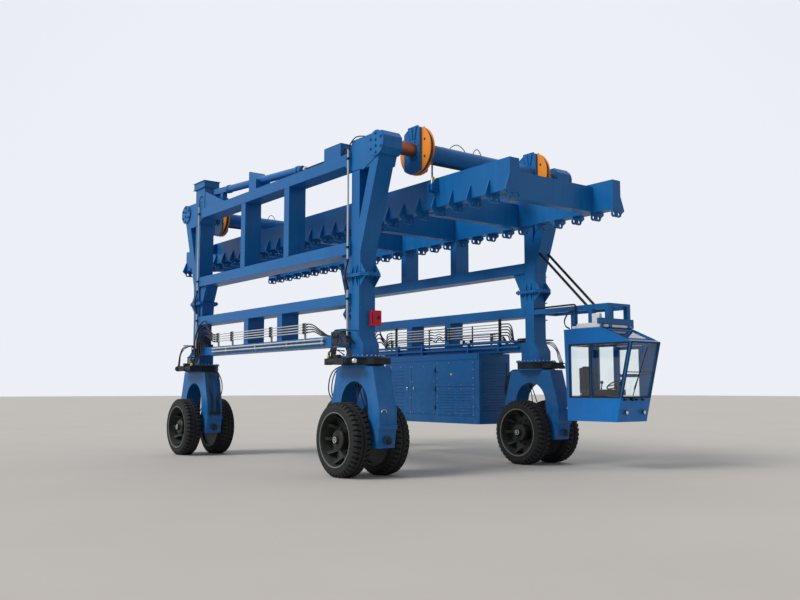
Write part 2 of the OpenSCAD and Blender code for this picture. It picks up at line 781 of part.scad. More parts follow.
// Panels: [rear end, front end, bottom, top]
panel_low_z = door_top_z - panel_h - panel_seam;
PANELS = [[power_x - door_back, power_x - door_split - door_seam, power_z + sill_h + door_lift, door_top_z],
    [power_x - door_split + door_seam, power_x - door_front, power_z + sill_h + door_lift, door_top_z],
    [power_x - panel_back, power_x - panel_front, door_top_z - panel_h, door_top_z + panel_over],
    [power_x - panel_back, power_x - panel_front, power_z + sill_h + panel_lift, panel_low_z]];

// Louvres: [rear end, front end, bottom, top, number of blades]
low_louvre = [power_z + sill_h + panel_lift + louvre_rim, panel_low_z - louvre_rim, 9];
LOUVRES = [[power_x - door_back + louvre_in, power_x - louvre_end, power_z + sill_h + door_lift + 90,
        door_top_z - 60, 12],
    concat([power_x - panel_back + louvre_in, power_x - louvre_mid], low_louvre),
    concat([power_x - louvre_mid + louvre_gap, power_x - panel_front - louvre_in], low_louvre)];
blade_h = 22;

module power_cabinet() {
    color(blue) {
        block([power_x - power_l, power_y, power_z], [grille_x, power_y + power_w, chord_base_z]);
        for (z = [[power_z, power_z + sill_h], [door_top_z + 100, chord_base_z]])
            block([power_x - power_l, power_y - skin_t, z[0]], [grille_x, power_y + 1, z[1]]);
        for (p = PANELS) block([p[0], power_y - skin_t, p[2]], [p[1], power_y + 1, p[3]]);
        for (l = LOUVRES) for (i = [0 : l[4] - 1])
            block([l[0], power_y - 2 * skin_t, l[2] + i * (l[3] - l[2]) / l[4]],
                [l[1], power_y + 1, l[2] + i * (l[3] - l[2]) / l[4] + blade_h]);
    }
}

blade_n = 18;
grille_side = 90;
grille_z0 = power_z + 320;
grille_z1 = chord_base_z - 220;

module radiator_grille() {
    pitch = (grille_z1 - grille_z0) / blade_n;
    color(blue) {
        block([grille_x, power_y, power_z], [power_x - 20, power_y + power_w, chord_base_z]);
        for (z = [[power_z, grille_z0 - 20], [grille_z1, chord_base_z]])
            block([grille_x, power_y, z[0]], [power_x, power_y + power_w, z[1]]);
        for (y = [0, power_w - grille_side])
            block([grille_x, power_y + y, power_z], [power_x, power_y + y + grille_side, chord_base_z]);
        for (i = [0 : blade_n - 1]) block([grille_x, power_y + 40, grille_z0 + i * pitch],
            [power_x - 4, power_y + power_w - 40, grille_z0 + i * pitch + blade_h]);
    }
}

// Frames ahead of the front left leg that hold the cab up
sup_top = 3420;
sup_h = 110;
sup_w = 100;
sup_x0 = axle_x + leg_x / 2;
sup_x1 = 5880;
sup_y1 = leg_cy + leg_y / 2 + 220;
stay_foot_x = 5290;
rest_h = 40;
HANGERS_X = [cab_x, 5330, sup_x1 - sup_h];

module cab_support() {
    color(blue) {
        for (y = [inner_y, sup_y1]) {
            block([sup_x0, y, sup_top - sup_h], [sup_x1, y + sup_w, sup_top]);
            for (x = HANGERS_X) block([x, y, cab_top_z], [x + sup_h, y + sup_w, sup_top - 1]);
            block([cab_x, y, cab_top_z], [sup_x1, y + sup_w, cab_top_z + rest_h]);
        }
        block([sup_x0, inner_y, sup_top - sup_h], [sup_x0 + 120, sup_y1, sup_top]);
        for (x = [stay_foot_x - sup_h / 2, sup_x1 - sup_h])
            block([x, inner_y, sup_top - 60], [x + sup_h, sup_y1 + 1, sup_top]);
        block([sup_x1 - sup_h, cab_y - sup_w, cab_top_z + 70], [sup_x1, cab_y + cab_w - 10, cab_top_z + 190]);
        block([sup_x1 - sup_h, cab_y + cab_w - 80, cab_top_z], [sup_x1, cab_y + cab_w - 10, cab_top_z + 190]);
    }
}

// Round bar between two points
module rod_between(p, q, d) {
    v = q - p;
    translate(p) rotate([0, acos(v[2] / norm(v)), atan2(v[1], v[0])]) cylinder(h = norm(v), d = d);
}

// Stays from the front left strut down to the cab's support
stay_d = 56;
stay_out = 310;
stay_top_x = axle_x + stay_out;
stay_top_z = 4680;

module cab_stays() {
    color(dark) for (y = [inner_y + 50, leg_cy + leg_y / 2 - 50]) difference() {
        rod_between([stay_top_x - 80, y, stay_top_z + 76], [stay_foot_x - 20, y, sup_top - 20], stay_d);
        translate([axle_x, 0, 0]) side_plate(y, 100) offset(delta = fit) strut_outline();
        block([sup_x0, y - 100, sup_top - 200], [sup_x1, y + 100, sup_top + fit]);
    }
}

// Side outline of the cab, X from its rear face
function cab_side(o) = [[-o, cab_z - o], [cab_floor_x + o, cab_z - o], [cab_nose_x + o, cab_head_z + o],
    [cab_roof_x + o, cab_top_z + o], [-cab_lean - o, cab_top_z + o]];

module cab_body(o) {
    translate([cab_x, 0, 0]) side_plate(cab_y + cab_w / 2, cab_w + 2 * o) polygon(cab_side(o));
}

// Lines of the sloping front wall, of the leaning rear wall and of the sloping roof
function rear_x(z) = -cab_lean * (z - cab_z) / (cab_top_z - cab_z);
function front_x(z) = cab_floor_x + (cab_nose_x - cab_floor_x) * (z - cab_z) / (cab_head_z - cab_z);
function roof_z(x) = cab_top_z + (cab_head_z - cab_top_z) * (x - cab_roof_x) / (cab_nose_x - cab_roof_x);

head_in_z = cab_head_z - 40;
win_in = 50;
rear_win_in = 90;
mullion_x = 600;
mullion_w = 80;
side_win_x = 90;
door_x0 = 560;
door_x1 = 1230;
door_gap = 6;
door_z0 = cab_z + 60;
door_z1 = cab_head_z - 40;
door_bar_z = 1900;
door_bar_h = 60;
hinge_x = cab_x + door_x0;
hinge_y = cab_y + cab_w + 14;
HINGES_Z = [1300, 2300];

// Openings of the side next to the leg, seen from the side
module side_windows() {
    polygon([[side_win_x, cab_sill_z], [mullion_x, cab_sill_z], [mullion_x, head_in_z],
        [side_win_x, head_in_z]]);
    polygon([[mullion_x + mullion_w, cab_sill_z], [front_x(cab_sill_z) - win_in - 10, cab_sill_z],
        [front_x(head_in_z) - win_in - 10, head_in_z], [mullion_x + mullion_w, head_in_z]]);
}

// Half of a door hinge, above its lower end at z
module knuckle(z, side) {
    translate([hinge_x, hinge_y, z]) cylinder(h = 40, d = 24);
    block([hinge_x + min(0, side * 40), cab_y + cab_w - 2, z], [hinge_x + max(0, side * 40), hinge_y, z + 40]);
}

module cab_shell() {
    color(cab_blue) {
        difference() {
            cab_body(0);
            cab_body(-cab_t);
            translate([cab_x, 0, 0]) side_plate(cab_y, 200) side_windows();
            translate([cab_x, 0, 0]) side_plate(cab_y + cab_w, 200)
                translate([side_win_x, cab_sill_z]) square([door_x0 - 60 - side_win_x, head_in_z - cab_sill_z]);
            block([cab_x + cab_floor_x - 60, cab_y + win_in, cab_sill_z],
                [cab_x + cab_nose_x + 100, cab_y + cab_w - win_in, cab_head_z - 30]);
            block([cab_x - 200, cab_y + rear_win_in, cab_sill_z],
                [cab_x + 100, cab_y + cab_w - rear_win_in, head_in_z]);
            block([cab_x + cab_roof_x + 60, cab_y + win_in, roof_cut_z],
                [cab_x + cab_nose_x + 100, cab_y + cab_w - win_in, cab_top_z + 100]);
            block([cab_x + door_x0, cab_y + cab_w - cab_t - 60, door_z0],
                [cab_x + door_x1, cab_y + cab_w + 1, door_z1]);
        }
        for (z = HINGES_Z) knuckle(z, -1);
    }
}

pane_t = 6;
pane_in = 20;

// Front end of the roof pane, where its lower face meets the edge of its opening
roof_cut_z = cab_head_z + 60;
roof_pane_x = cab_roof_x + (cab_top_z - pane_in - pane_t - roof_cut_z - 2)
    * (cab_nose_x - cab_roof_x) / (cab_top_z - cab_head_z);

module cab_glass() {
    color([0.6, 0.8, 0.8, 0.4]) {
        translate([cab_x, 0, 0]) {
            side_plate(cab_y + pane_in, pane_t) side_windows();
            side_plate(cab_y + cab_w - pane_in, pane_t)
                translate([side_win_x, cab_sill_z]) square([door_x0 - 60 - side_win_x, head_in_z - cab_sill_z]);
            side_plate(cab_y + cab_w / 2, cab_w - 2 * rear_win_in)
                polygon([for (p = [[cab_sill_z, 0], [cab_sill_z, pane_t], [head_in_z, pane_t], [head_in_z, 0]])
                    [rear_x(p[0]) + pane_in + p[1], p[0]]]);
            side_plate(cab_y + cab_w / 2, cab_w - 2 * win_in) {
                polygon([for (p = [[cab_sill_z, pane_in], [cab_sill_z, pane_in + pane_t],
                    [cab_head_z - 30, pane_in + pane_t], [cab_head_z - 30, pane_in]]) [front_x(p[0]) - p[1], p[0]]]);
                polygon([for (p = [[cab_roof_x + 60, pane_in], [cab_roof_x + 60, pane_in + pane_t],
                    [roof_pane_x, pane_in + pane_t], [roof_pane_x, pane_in]]) [p[0], roof_z(p[0]) - p[1]]]);
            }
        }
    }
}

DOOR_PANES = [[door_z0 + 140, door_bar_z], [door_bar_z + door_bar_h, door_z1 - 80]];

module cab_door() {
    color(cab_blue) {
        difference() {
            block([cab_x + door_x0 + door_gap, cab_y + cab_w - cab_t, door_z0 + door_gap],
                [cab_x + door_x1 - door_gap, cab_y + cab_w, door_z1 - door_gap]);
            for (p = DOOR_PANES) block([cab_x + door_x0 + 80, cab_y + cab_w - cab_t - 1, p[0]],
                [cab_x + door_x1 - 80, cab_y + cab_w + 1, p[1]]);
        }
        for (z = HINGES_Z) knuckle(z + 40 + fit, 1);
    }
}

module door_glass() {
    color([0.6, 0.8, 0.8, 0.4]) for (p = DOOR_PANES)
        block([cab_x + door_x0 + 80, cab_y + cab_w - pane_in - pane_t, p[0]],
            [cab_x + door_x1 - 80, cab_y + cab_w - pane_in, p[1]]);
}

module cab_seat() {
    color(dark) {
        block([cab_x + 150, cab_y + 260, cab_z + cab_t], [cab_x + 500, cab_y + 680, cab_z + 420]);
        block([cab_x + 100, cab_y + 240, cab_z + 420], [cab_x + 600, cab_y + 700, cab_z + 540]);
        block([cab_x + 100, cab_y + 240, cab_z + 540], [cab_x + 220, cab_y + 700, cab_z + 1150]);
    }
}

// Red box on the front right leg, which reaches past the leg's inner side
fire_z = 2860;
fire_h = 300;
fire_t = 90;
fire_in = 140;
fire_out = 90;

module fire_box() {
    color([0.75, 0.08, 0.06]) block([axle_x + leg_x / 2, -inner_y - fire_in, fire_z],
        [axle_x + leg_x / 2 + fire_t, -inner_y + fire_out, fire_z + fire_h]);
}

lamp_z = cab_z + 190;

module lamps() {
    color([0.9, 0.9, 0.9]) for (y = [cab_y + 200, cab_y + cab_w - 200])
        bar_x(cab_x + front_x(lamp_z + 45) + fit, cab_x + front_x(lamp_z + 45) + 45, y, lamp_z, 90);
}

chords(-1);  // right_chords
posts(-1);  // right_posts
chords(1);  // left_chords
posts(1);  // left_posts
upper_legs();
lower_legs();
corner_struts();
cross_tubes();
sheave_shafts();
sheave_forks();
slew_drives();
hoist_barrels();
service_pipes();
power_cabinet();
radiator_grille();
cab_support();
cab_stays();
cab_shell();
cab_glass();
cab_seat();
fire_box();
lamps();
pull_ropes();
hoist_ropes();
yoke_at(FR);  // fr_yoke
yoke_at(FL);  // fl_yoke
yoke_at(RR);  // rr_yoke
yoke_at(RL);  // rl_yoke
axle_at(FR);  // fr_axle
axle_at(FL);  // fl_axle
axle_at(RR);  // rr_axle
axle_at(RL);  // rl_axle
rims_at(FR);  // fr_rims
rims_at(FL);  // fl_rims
rims_at(RR);  // rr_rims
rims_at(RL);  // rl_rims
tyres_at(FR);  // fr_tyres
tyres_at(FL);  // fl_tyres
tyres_at(RR);  // rr_tyres
tyres_at(RL);  // rl_tyres
spreader_beams();
spreader_crossbeams();
lifting_ears();
cab_door();
door_glass();
sheaves(FR);  // fr_sheaves
sheaves(FL);  // fl_sheaves
sheaves(RR);  // rr_sheaves
sheaves(RL);  // rl_sheaves
rod(-1);  // right_rod
rod(1);  // left_rod
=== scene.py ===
"""Dresses the straddle carrier: its finishes, its small parts, the light and the camera.

Lengths are metres in the frame's axes: X forward, Y to the left side, Z up, origin on the ground
under the middle of the machine.
"""

from __future__ import annotations

import json
import logging
import math
from collections.abc import Callable, Sequence
from dataclasses import dataclass, field
from enum import Enum
from functools import partial
from itertools import product

import bmesh
import bpy
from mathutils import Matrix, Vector

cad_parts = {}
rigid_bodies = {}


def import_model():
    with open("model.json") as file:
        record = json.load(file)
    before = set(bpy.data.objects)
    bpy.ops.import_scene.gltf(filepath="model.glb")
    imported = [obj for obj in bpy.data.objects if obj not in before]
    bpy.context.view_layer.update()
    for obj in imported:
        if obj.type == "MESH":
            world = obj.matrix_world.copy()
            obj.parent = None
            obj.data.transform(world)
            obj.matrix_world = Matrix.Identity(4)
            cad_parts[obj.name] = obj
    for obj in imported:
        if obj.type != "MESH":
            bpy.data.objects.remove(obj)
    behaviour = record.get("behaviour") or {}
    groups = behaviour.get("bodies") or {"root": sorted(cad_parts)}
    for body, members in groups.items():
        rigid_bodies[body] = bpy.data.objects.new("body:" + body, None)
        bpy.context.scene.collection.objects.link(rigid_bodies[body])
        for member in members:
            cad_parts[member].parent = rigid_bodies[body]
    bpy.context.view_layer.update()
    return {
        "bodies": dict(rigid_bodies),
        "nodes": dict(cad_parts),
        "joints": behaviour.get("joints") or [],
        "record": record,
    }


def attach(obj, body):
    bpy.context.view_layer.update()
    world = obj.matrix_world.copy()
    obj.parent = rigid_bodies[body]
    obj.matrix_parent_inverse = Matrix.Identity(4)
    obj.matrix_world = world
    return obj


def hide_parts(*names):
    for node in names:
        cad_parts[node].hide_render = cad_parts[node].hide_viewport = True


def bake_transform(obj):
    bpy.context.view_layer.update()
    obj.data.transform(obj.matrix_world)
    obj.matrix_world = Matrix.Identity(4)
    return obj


log = logging.getLogger("carrier")

Colour = tuple[float, float, float]
Point = tuple[float, float, float]
# A point of a hose, and what each further hose beside it adds
Knot = tuple[Point, Point]


class Body(Enum):
    """The bodies that pieces ride on. There is one of the last three at each corner."""

    ROOT = "root"
    SPREADER = "spreader"
    CAB_DOOR = "cab_door"
    SHEAVE = "sheave"
    STEERING = "steering"
    WHEELS = "wheels"


@dataclass(frozen=True)
class Layout:
    """The machine's main axes and faces.

    Args:
        leg_x: Distance of the legs' axes from the middle, along the machine.
        leg_y: Their distance from the middle, across it.
        axle_z: Height of the wheels' axles.
        tube_x: Distance of the cross tubes from the middle.
        tube_z: Their height.
        sheave_y: Distance of the sheaves from the middle, across the machine.
        inner_y: The side frames' faces next to the load bay.
        outer_y: Their outer faces.
    """

    leg_x: float
    leg_y: float
    axle_z: float
    tube_x: float
    tube_z: float
    sheave_y: float
    inner_y: float
    outer_y: float

    @classmethod
    def read(cls, nodes: dict[str, bpy.types.Object]) -> Layout:
        """Reads the layout from the frame, to the millimetre.

        Args:
            nodes: The frame's nodes by name.

        Returns:
            The layout.
        """
        boxes = {}
        for name in ("fl_tyres", "cross_tubes", "fl_sheaves", "left_chords"):
            corners = [nodes[name].matrix_world @ Vector(corner) for corner in nodes[name].bound_box]
            boxes[name] = [(min(places), max(places)) for places in zip(*corners)]
        leg_x, leg_y, axle_z = (sum(ends) / 2 for ends in boxes["fl_tyres"])
        (_, tube_end), _, (tube_low, tube_top) = boxes["cross_tubes"]
        found = {
            "leg_x": leg_x,
            "leg_y": leg_y,
            "axle_z": axle_z,
            "tube_x": tube_end - (tube_top - tube_low) / 2,
            "tube_z": (tube_low + tube_top) / 2,
            "sheave_y": sum(boxes["fl_sheaves"][1]) / 2,
            "inner_y": boxes["left_chords"][1][0],
            "outer_y": boxes["left_chords"][1][1],
        }
        return cls(**{name: round(value, 3) for name, value in found.items()})


@dataclass(frozen=True)
class Corner:
    """One of the four corners of the machine.

    Args:
        tag: The two letters that begin the names of its bodies and nodes.
        ahead: 1 at the front and -1 at the rear.
        left: 1 on the left side and -1 on the right.
        layout: The machine's main axes.
    """

    tag: str
    ahead: int
    left: int
    layout: Layout

    def place(self, x: float, y: float, z: float) -> Vector:
        """A point given for the front left corner, at this corner."""
        return Vector((self.ahead * x, self.left * y, z))

    def at_leg(self, x: float, y: float, z: float) -> Vector:
        """A point given from the leg's axis, X towards the machine's end and Y towards its outer side."""
        return self.place(self.layout.leg_x + x, self.layout.leg_y + y, z)

    def route(self, points: Sequence[Point]) -> list[Vector]:
        """Points given as for at_leg."""
        return [self.at_leg(*point) for point in points]


class Term:
    """A socket of a shader graph that takes part in Python expressions."""

    def __init__(self, graph: Graph, socket: bpy.types.NodeSocket) -> None:
        """Wraps a socket.

        Args:
            graph: The graph that the socket belongs to.
            socket: The socket itself.
        """
        self.graph = graph
        self.socket = socket

    def _math(self, operation: str, first: Operand, second: Operand = 0.0) -> Term:
        """Adds a Math node on two operands and returns its result."""
        return self.graph.add("ShaderNodeMath", {"operation": operation}, {0: first, 1: second})

    def __add__(self, other: Operand) -> Term:
        """self + other."""
        return self._math("ADD", self, other)

    def __radd__(self, other: float) -> Term:
        """other + self."""
        return self._math("ADD", other, self)

    def __sub__(self, other: Operand) -> Term:
        """self - other."""
        return self._math("SUBTRACT", self, other)

    def __rsub__(self, other: float) -> Term:
        """other - self."""
        return self._math("SUBTRACT", other, self)

    def __mul__(self, other: Operand) -> Term:
        """self * other."""
        return self._math("MULTIPLY", self, other)

    def __rmul__(self, other: float) -> Term:
        """other * self."""
        return self._math("MULTIPLY", other, self)

    def between(self, low: float, high: float) -> Term:
        """0 below low, 1 above high, and a smooth rise between them."""
        settings = {"interpolation_type": "SMOOTHSTEP"}
        return self.graph.add("ShaderNodeMapRange", settings, {0: self, 1: low, 2: high})


Operand = "Term | float"


class Graph:
    """The shader graph of one material."""

    def __init__(self, name: str) -> None:
        """Makes a material with an empty graph.

        Args:
            name: The material's name.
        """
        self.material = bpy.data.materials.new(name)
        self.material.use_nodes = True
        self.tree = self.material.node_tree
        self.tree.nodes.clear()

    def add(
        self,
        kind: str,
        settings: dict[str, object] | None = None,
        inputs: dict[str | int, object] | None = None,
        output: str | int = 0,
    ) -> Term:
        """Adds one node.

        Args:
            kind: The node's type.
            settings: Properties of the node, set first.
            inputs: Values or terms for the node's sockets, by name or number.
            output: The name or number of the socket to return.

        Returns:
            The chosen output socket.
        """
        node = self.tree.nodes.new(kind)
        for key, value in (settings or {}).items():
            setattr(node, key, value)
        for key, value in (inputs or {}).items():
            if isinstance(value, Term):
                self.tree.links.new(value.socket, node.inputs[key])
            else:
                node.inputs[key].default_value = value
        return Term(self, node.outputs[output])

    def place(self) -> Term:
        """The point on the piece, in the frame's axes at rest."""
        return self.add("ShaderNodeTexCoord", output="Object")

    def split(self, vector: Term, axis: str) -> Term:
        """One coordinate, X, Y or Z, of a vector."""
        return self.add("ShaderNodeSeparateXYZ", None, {0: vector}, axis)

    def stretch(self, vector: Term, factors: Point) -> Term:
        """A vector with each coordinate multiplied by its factor."""
        return self.add("ShaderNodeVectorMath", {"operation": "MULTIPLY"}, {0: vector, 1: factors})

    def noise(self, vector: Term, scale: float, detail: float = 3.0, rough: float = 0.55) -> Term:
        """Smooth noise from 0 to 1."""
        inputs = {"Vector": vector, "Scale": scale, "Detail": detail, "Roughness": rough}
        return self.add("ShaderNodeTexNoise", None, inputs)

    def blend(self, first: object, second: object, factor: object) -> Term:
        """A colour between two colours.

        Args:
            first: The colour at 0, a term or three numbers.
            second: The colour at 1.
            factor: How far to go from the first to the second.

        Returns:
            The mixed colour.
        """
        first, second = (c if isinstance(c, Term) else (*c, 1.0) for c in (first, second))
        settings = {"data_type": "RGBA"}
        return self.add("ShaderNodeMix", settings, {0: factor, 6: first, 7: second}, 2)

    def bump(self, height: Term, strength: float, distance: float) -> Term:
        """A normal from a height."""
        inputs = {"Height": height, "Strength": strength, "Distance": distance}
        return self.add("ShaderNodeBump", None, inputs)

    def surface(self, **inputs: object) -> bpy.types.Material:
        """Ends the graph in a Principled shader and returns the material.

        Args:
            inputs: Values or terms by socket name, with _ for a space.

        Returns:
            The finished material.
        """
        named = {key.replace("_", " "): value for key, value in inputs.items()}
        shader = self.add("ShaderNodeBsdfPrincipled", None, named)
        out = self.tree.nodes.new("ShaderNodeOutputMaterial")
        self.tree.links.new(shader.socket, out.inputs["Surface"])
        return self.material


# The pale dust that settles near the ground
DUST: Colour = (0.33, 0.29, 0.24)


@dataclass(frozen=True)
class Paint:
    """Sprayed paint on steel, with faint clouds, rain streaks and dust low down.

    Args:
        name: The material's name.
        colour: The paint's own colour.
        faded: The colour where it is weathered.
        rough: Roughness of the clean paint.
        dust: How much pale dust lies on it near the ground, from 0 to 1.
        coat: Strength of its clear coat, from 0 to 1.
    """

    name: str
    colour: Colour
    faded: Colour
    rough: float = 0.36
    dust: float = 0.12
    coat: float = 0.06

    def make(self) -> bpy.types.Material:
        """Builds the material.

        Returns:
            The material.
        """
        graph = Graph(self.name)
        place = graph.place()
        clouds = graph.noise(place, 0.9, 4.0)
        streaks = graph.noise(graph.stretch(place, (9.0, 9.0, 0.5)), 1.0, 5.0, 0.6)
        weather = (clouds * 0.6 + streaks * 0.4).between(0.42, 0.7)
        colour = graph.blend(self.colour, self.faded, weather)
        height = graph.split(place, "Z")
        grime = graph.noise(place, 6.0, 6.0, 0.65)
        low = (1.0 - height.between(0.2, 3.2)) * grime.between(0.35, 0.75) * self.dust
        colour = graph.blend(colour, DUST, low)
        peel = graph.noise(place, 90.0, 2.0)
        rough = weather * 0.12 + low * 0.35 + self.rough
        return graph.surface(
            Base_Color=colour,
            Roughness=rough,
            Specular_IOR_Level=0.25,
            Coat_Weight=self.coat,
            Coat_Roughness=0.1,
            Normal=graph.bump(peel, 0.05, 0.002),
        )


@dataclass(frozen=True)
class Metal:
    """Bare or plated metal with fine scratches.

    Args:
        name: The material's name.
        colour: Its colour.
        stain: The colour of its stains.
        rough: Its roughness.
        stained: How much of it is stained, from 0 to 1.
        metallic: How metallic the clean part is.
    """

    name: str
    colour: Colour
    stain: Colour
    rough: float = 0.3
    stained: float = 0.3
    metallic: float = 1.0

    def make(self) -> bpy.types.Material:
        """Builds the material.

        Returns:
            The material.
        """
        graph = Graph(self.name)
        place = graph.place()
        spots = graph.noise(place, 14.0, 6.0, 0.7)
        spots = spots.between(0.75 - self.stained * 0.5, 0.9 - self.stained * 0.4)
        colour = graph.blend(self.colour, self.stain, spots)
        scratches = graph.noise(graph.stretch(place, (60.0, 60.0, 12.0)), 3.0, 3.0)
        return graph.surface(
            Base_Color=colour,
            Metallic=(1.0 - spots * 0.7) * self.metallic,
            Roughness=spots * 0.3 + scratches * 0.08 + self.rough,
            Normal=graph.bump(scratches, 0.05, 0.001),
        )


@dataclass(frozen=True)
class Rubber:
    """Black rubber or plastic, dusty where it is rough.

    Args:
        name: The material's name.
        colour: Its colour.
        dusty: The colour of the dust that it holds.
        rough: Its roughness.
        dust: How much dust it holds, from 0 to 1.
        grain: Depth of the grain in metres.
    """

    name: str
    colour: Colour
    dusty: Colour
    rough: float = 0.75
    dust: float = 0.5
    grain: float = 0.002

    def make(self) -> bpy.types.Material:
        """Builds the material.

        Returns:
            The material.
        """
        graph = Graph(self.name)
        place = graph.place()
        patches = graph.noise(place, 5.0, 6.0, 0.7).between(0.4, 0.7) * self.dust
        grain = graph.noise(place, 120.0, 3.0)
        return graph.surface(
            Base_Color=graph.blend(self.colour, self.dusty, patches),
            Roughness=patches * 0.15 + self.rough,
            Normal=graph.bump(grain, 0.2, self.grain),
        )


@dataclass(frozen=True)
class Glass:
    """Clear window glass with a faint film of dust.

    Args:
        name: The material's name.
        tint: Its tint.
    """

    name: str
    tint: Colour = (0.93, 0.97, 0.96)

    def make(self) -> bpy.types.Material:
        """Builds the material.

        Returns:
            The material.
        """
        graph = Graph(self.name)
        film = graph.noise(graph.place(), 3.0, 5.0, 0.6)
        return graph.surface(
            Base_Color=(*self.tint, 1.0),
            Roughness=film.between(0.5, 0.9) * 0.06 + 0.01,
            Transmission_Weight=1.0,
            IOR=1.45,
        )


class Finish(Enum):
    """The finishes, each under the name of its material slot."""

    FRAME_PAINT = Paint("frame_blue", (0.002, 0.108, 0.335), (0.006, 0.135, 0.375))
    CAB_PAINT = Paint("cab_blue", (0.0005, 0.165, 0.54), (0.003, 0.19, 0.58), 0.28, 0.06, 0.15)
    DARK_STEEL = Paint("dark_steel", (0.008, 0.011, 0.016), (0.025, 0.028, 0.032), 0.5, coat=0.0)
    WORN_COPPER = Metal("worn_copper", (0.42, 0.17, 0.1), (0.1, 0.055, 0.04), 0.38, 0.4)
    CONDUIT = Paint("conduit_grey", (0.5, 0.53, 0.53), (0.36, 0.39, 0.39), 0.4, coat=0.0)
    GLASS = Glass("clear_glass")
    SEAT_PLASTIC = Rubber("seat_black", (0.012, 0.012, 0.014), (0.03, 0.03, 0.03), 0.6, 0.2)
    RED_PAINT = Paint("signal_red", (0.6, 0.008, 0.035), (0.55, 0.02, 0.045), 0.35, 0.0)
    LAMP_CHROME = Metal("lamp_chrome", (0.8, 0.81, 0.83), (0.4, 0.4, 0.4), 0.1, 0.05)
    ROPE_STEEL = Metal("wire_rope", (0.07, 0.07, 0.07), (0.02, 0.018, 0.015), 0.45, 0.5, 0.7)
    RIM_PAINT = Paint("rim_grey", (0.03, 0.04, 0.038), (0.05, 0.062, 0.058), 0.45, 0.15, 0.0)
    TYRE = Rubber("tyre_rubber", (0.006, 0.007, 0.009), (0.02, 0.021, 0.023), 0.8, 0.5)
    SHEAVE_PAINT = Paint("sheave_orange", (0.82, 0.27, 0.02), (0.7, 0.21, 0.03), 0.4, 0.0)
    ROD_CHROME = Metal("rod_chrome", (0.8, 0.81, 0.83), (0.3, 0.3, 0.3), 0.1, 0.1)
    RING_GREY = Paint("ring_grey", (0.16, 0.19, 0.185), (0.11, 0.13, 0.125), 0.4, 0.2, 0.0)
    HUB_BLACK = Paint("hub_black", (0.006, 0.007, 0.008), (0.016, 0.017, 0.018), 0.4, 0.1, 0.0)
    ZINC = Metal("zinc_plate", (0.45, 0.46, 0.47), (0.2, 0.19, 0.17), 0.35, 0.3)
    HOSE = Rubber("hose_rubber", (0.006, 0.006, 0.007), (0.018, 0.018, 0.018), 0.5, 0.4, 0.0005)
    SEAL = Rubber("seal_rubber", (0.005, 0.005, 0.006), (0.012, 0.012, 0.012), 0.6, 0.2, 0.0005)
    PANEL_GREY = Paint("panel_grey", (0.03, 0.033, 0.037), (0.045, 0.048, 0.05), 0.5, 0.0, 0.0)
    PLATE_YELLOW = Paint("plate_yellow", (0.5, 0.55, 0.05), (0.42, 0.46, 0.07), 0.4, 0.0, 0.0)
    BEACON = Paint("beacon_yellow", (0.5, 0.6, 0.04), (0.45, 0.52, 0.06), 0.15, 0.0)
    PANEL_WHITE = Paint("panel_white", (0.86, 0.87, 0.88), (0.78, 0.79, 0.8), 0.4, 0.0, 0.0)
    LENS = Paint("lens_white", (0.8, 0.81, 0.79), (0.7, 0.71, 0.7), 0.08, 0.0)

    @classmethod
    def of_slot(cls, slot: str) -> Finish:
        """The finish of a material slot."""
        return cls[slot.upper()]


@dataclass
class Finisher:
    """Gives every node of the frame its finish and its rounded edges.

    Args:
        frame: What the frame loader returned.
        edge: Width of the rounded edges.
        sharp: Angle in degrees from which an edge is rounded.
        materials: The materials made so far.
        slots: The finishes that the frame's own nodes have.
    """

    frame: dict[str, object]
    edge: float = 0.006
    sharp: float = 38.0
    materials: dict[Finish, bpy.types.Material] = field(default_factory=dict)
    slots: set[Finish] = field(default_factory=set)

    def material(self, finish: Finish) -> bpy.types.Material:
        """The material of a finish, made when it is first asked for.

        Args:
            finish: The finish.

        Returns:
            Its material.
        """
        if finish not in self.materials:
            self.materials[finish] = finish.value.make()
        return self.materials[finish]

    def dress_nodes(self) -> None:
        """Finishes the nodes of the frame."""
        for row in self.frame["record"]["subparts"]:
            node = self.frame["nodes"][row["node"]]
            finish = Finish.of_slot(row["material_slot"])
            node.data.materials.clear()
            node.data.materials.append(self.material(finish))
            self.slots.add(finish)
            self.soften(node)
            log.info("finished node %s", row["node"])

    def soften(self, piece: bpy.types.Object) -> None:
        """Rounds the sharp edges of a piece and smooths its curves.

        Args:
            piece: The piece, a node of the frame.
        """
        piece.modifiers.new("weld", "WELD").merge_threshold = 0.0001
        bevel = piece.modifiers.new("edges", "BEVEL")
        bevel.width = self.edge
        bevel.segments = 2
        bevel.angle_limit = math.radians(self.sharp)
        bevel.use_clamp_overlap = True
        bevel.harden_normals = False
        normals = piece.modifiers.new("normals", "WEIGHTED_NORMAL")
        normals.keep_sharp = False
        normals.weight = 80


def smooth_path(points: Sequence[Point], steps: int = 6) -> list[Vector]:
    """A smooth curve through points.

    Args:
        points: The points that the curve passes.
        steps: Number of short lengths between two of them.

    Returns:
        The points of the curve.
    """
    knots = [Vector(point) for point in points]
    knots = [knots[0] * 2 - knots[1], *knots, knots[-1] * 2 - knots[-2]]
    path = []
    for a, b, c, d in zip(knots, knots[1:], knots[2:], knots[3:]):
        for step in range(steps):
            t = step / steps
            turn = (c - a) * t + (a * 2 - b * 5 + c * 4 - d) * t**2 + (b * 3 - a - c * 3 + d) * t**3
            path.append(b + turn * 0.5)
    return [*path, knots[-2]]


def square_to(axis: Vector) -> tuple[Vector, Vector]:
    """Two directions that are square to an axis and to each other.

    Args:
        axis: The axis, one metre long.

    Returns:
        The two directions.
    """
    guide = Vector((0, 0, 1)) if abs(axis.z) < 0.9 else Vector((1, 0, 0))
    side = axis.cross(guide).normalized()
    return side, axis.cross(side).normalized()


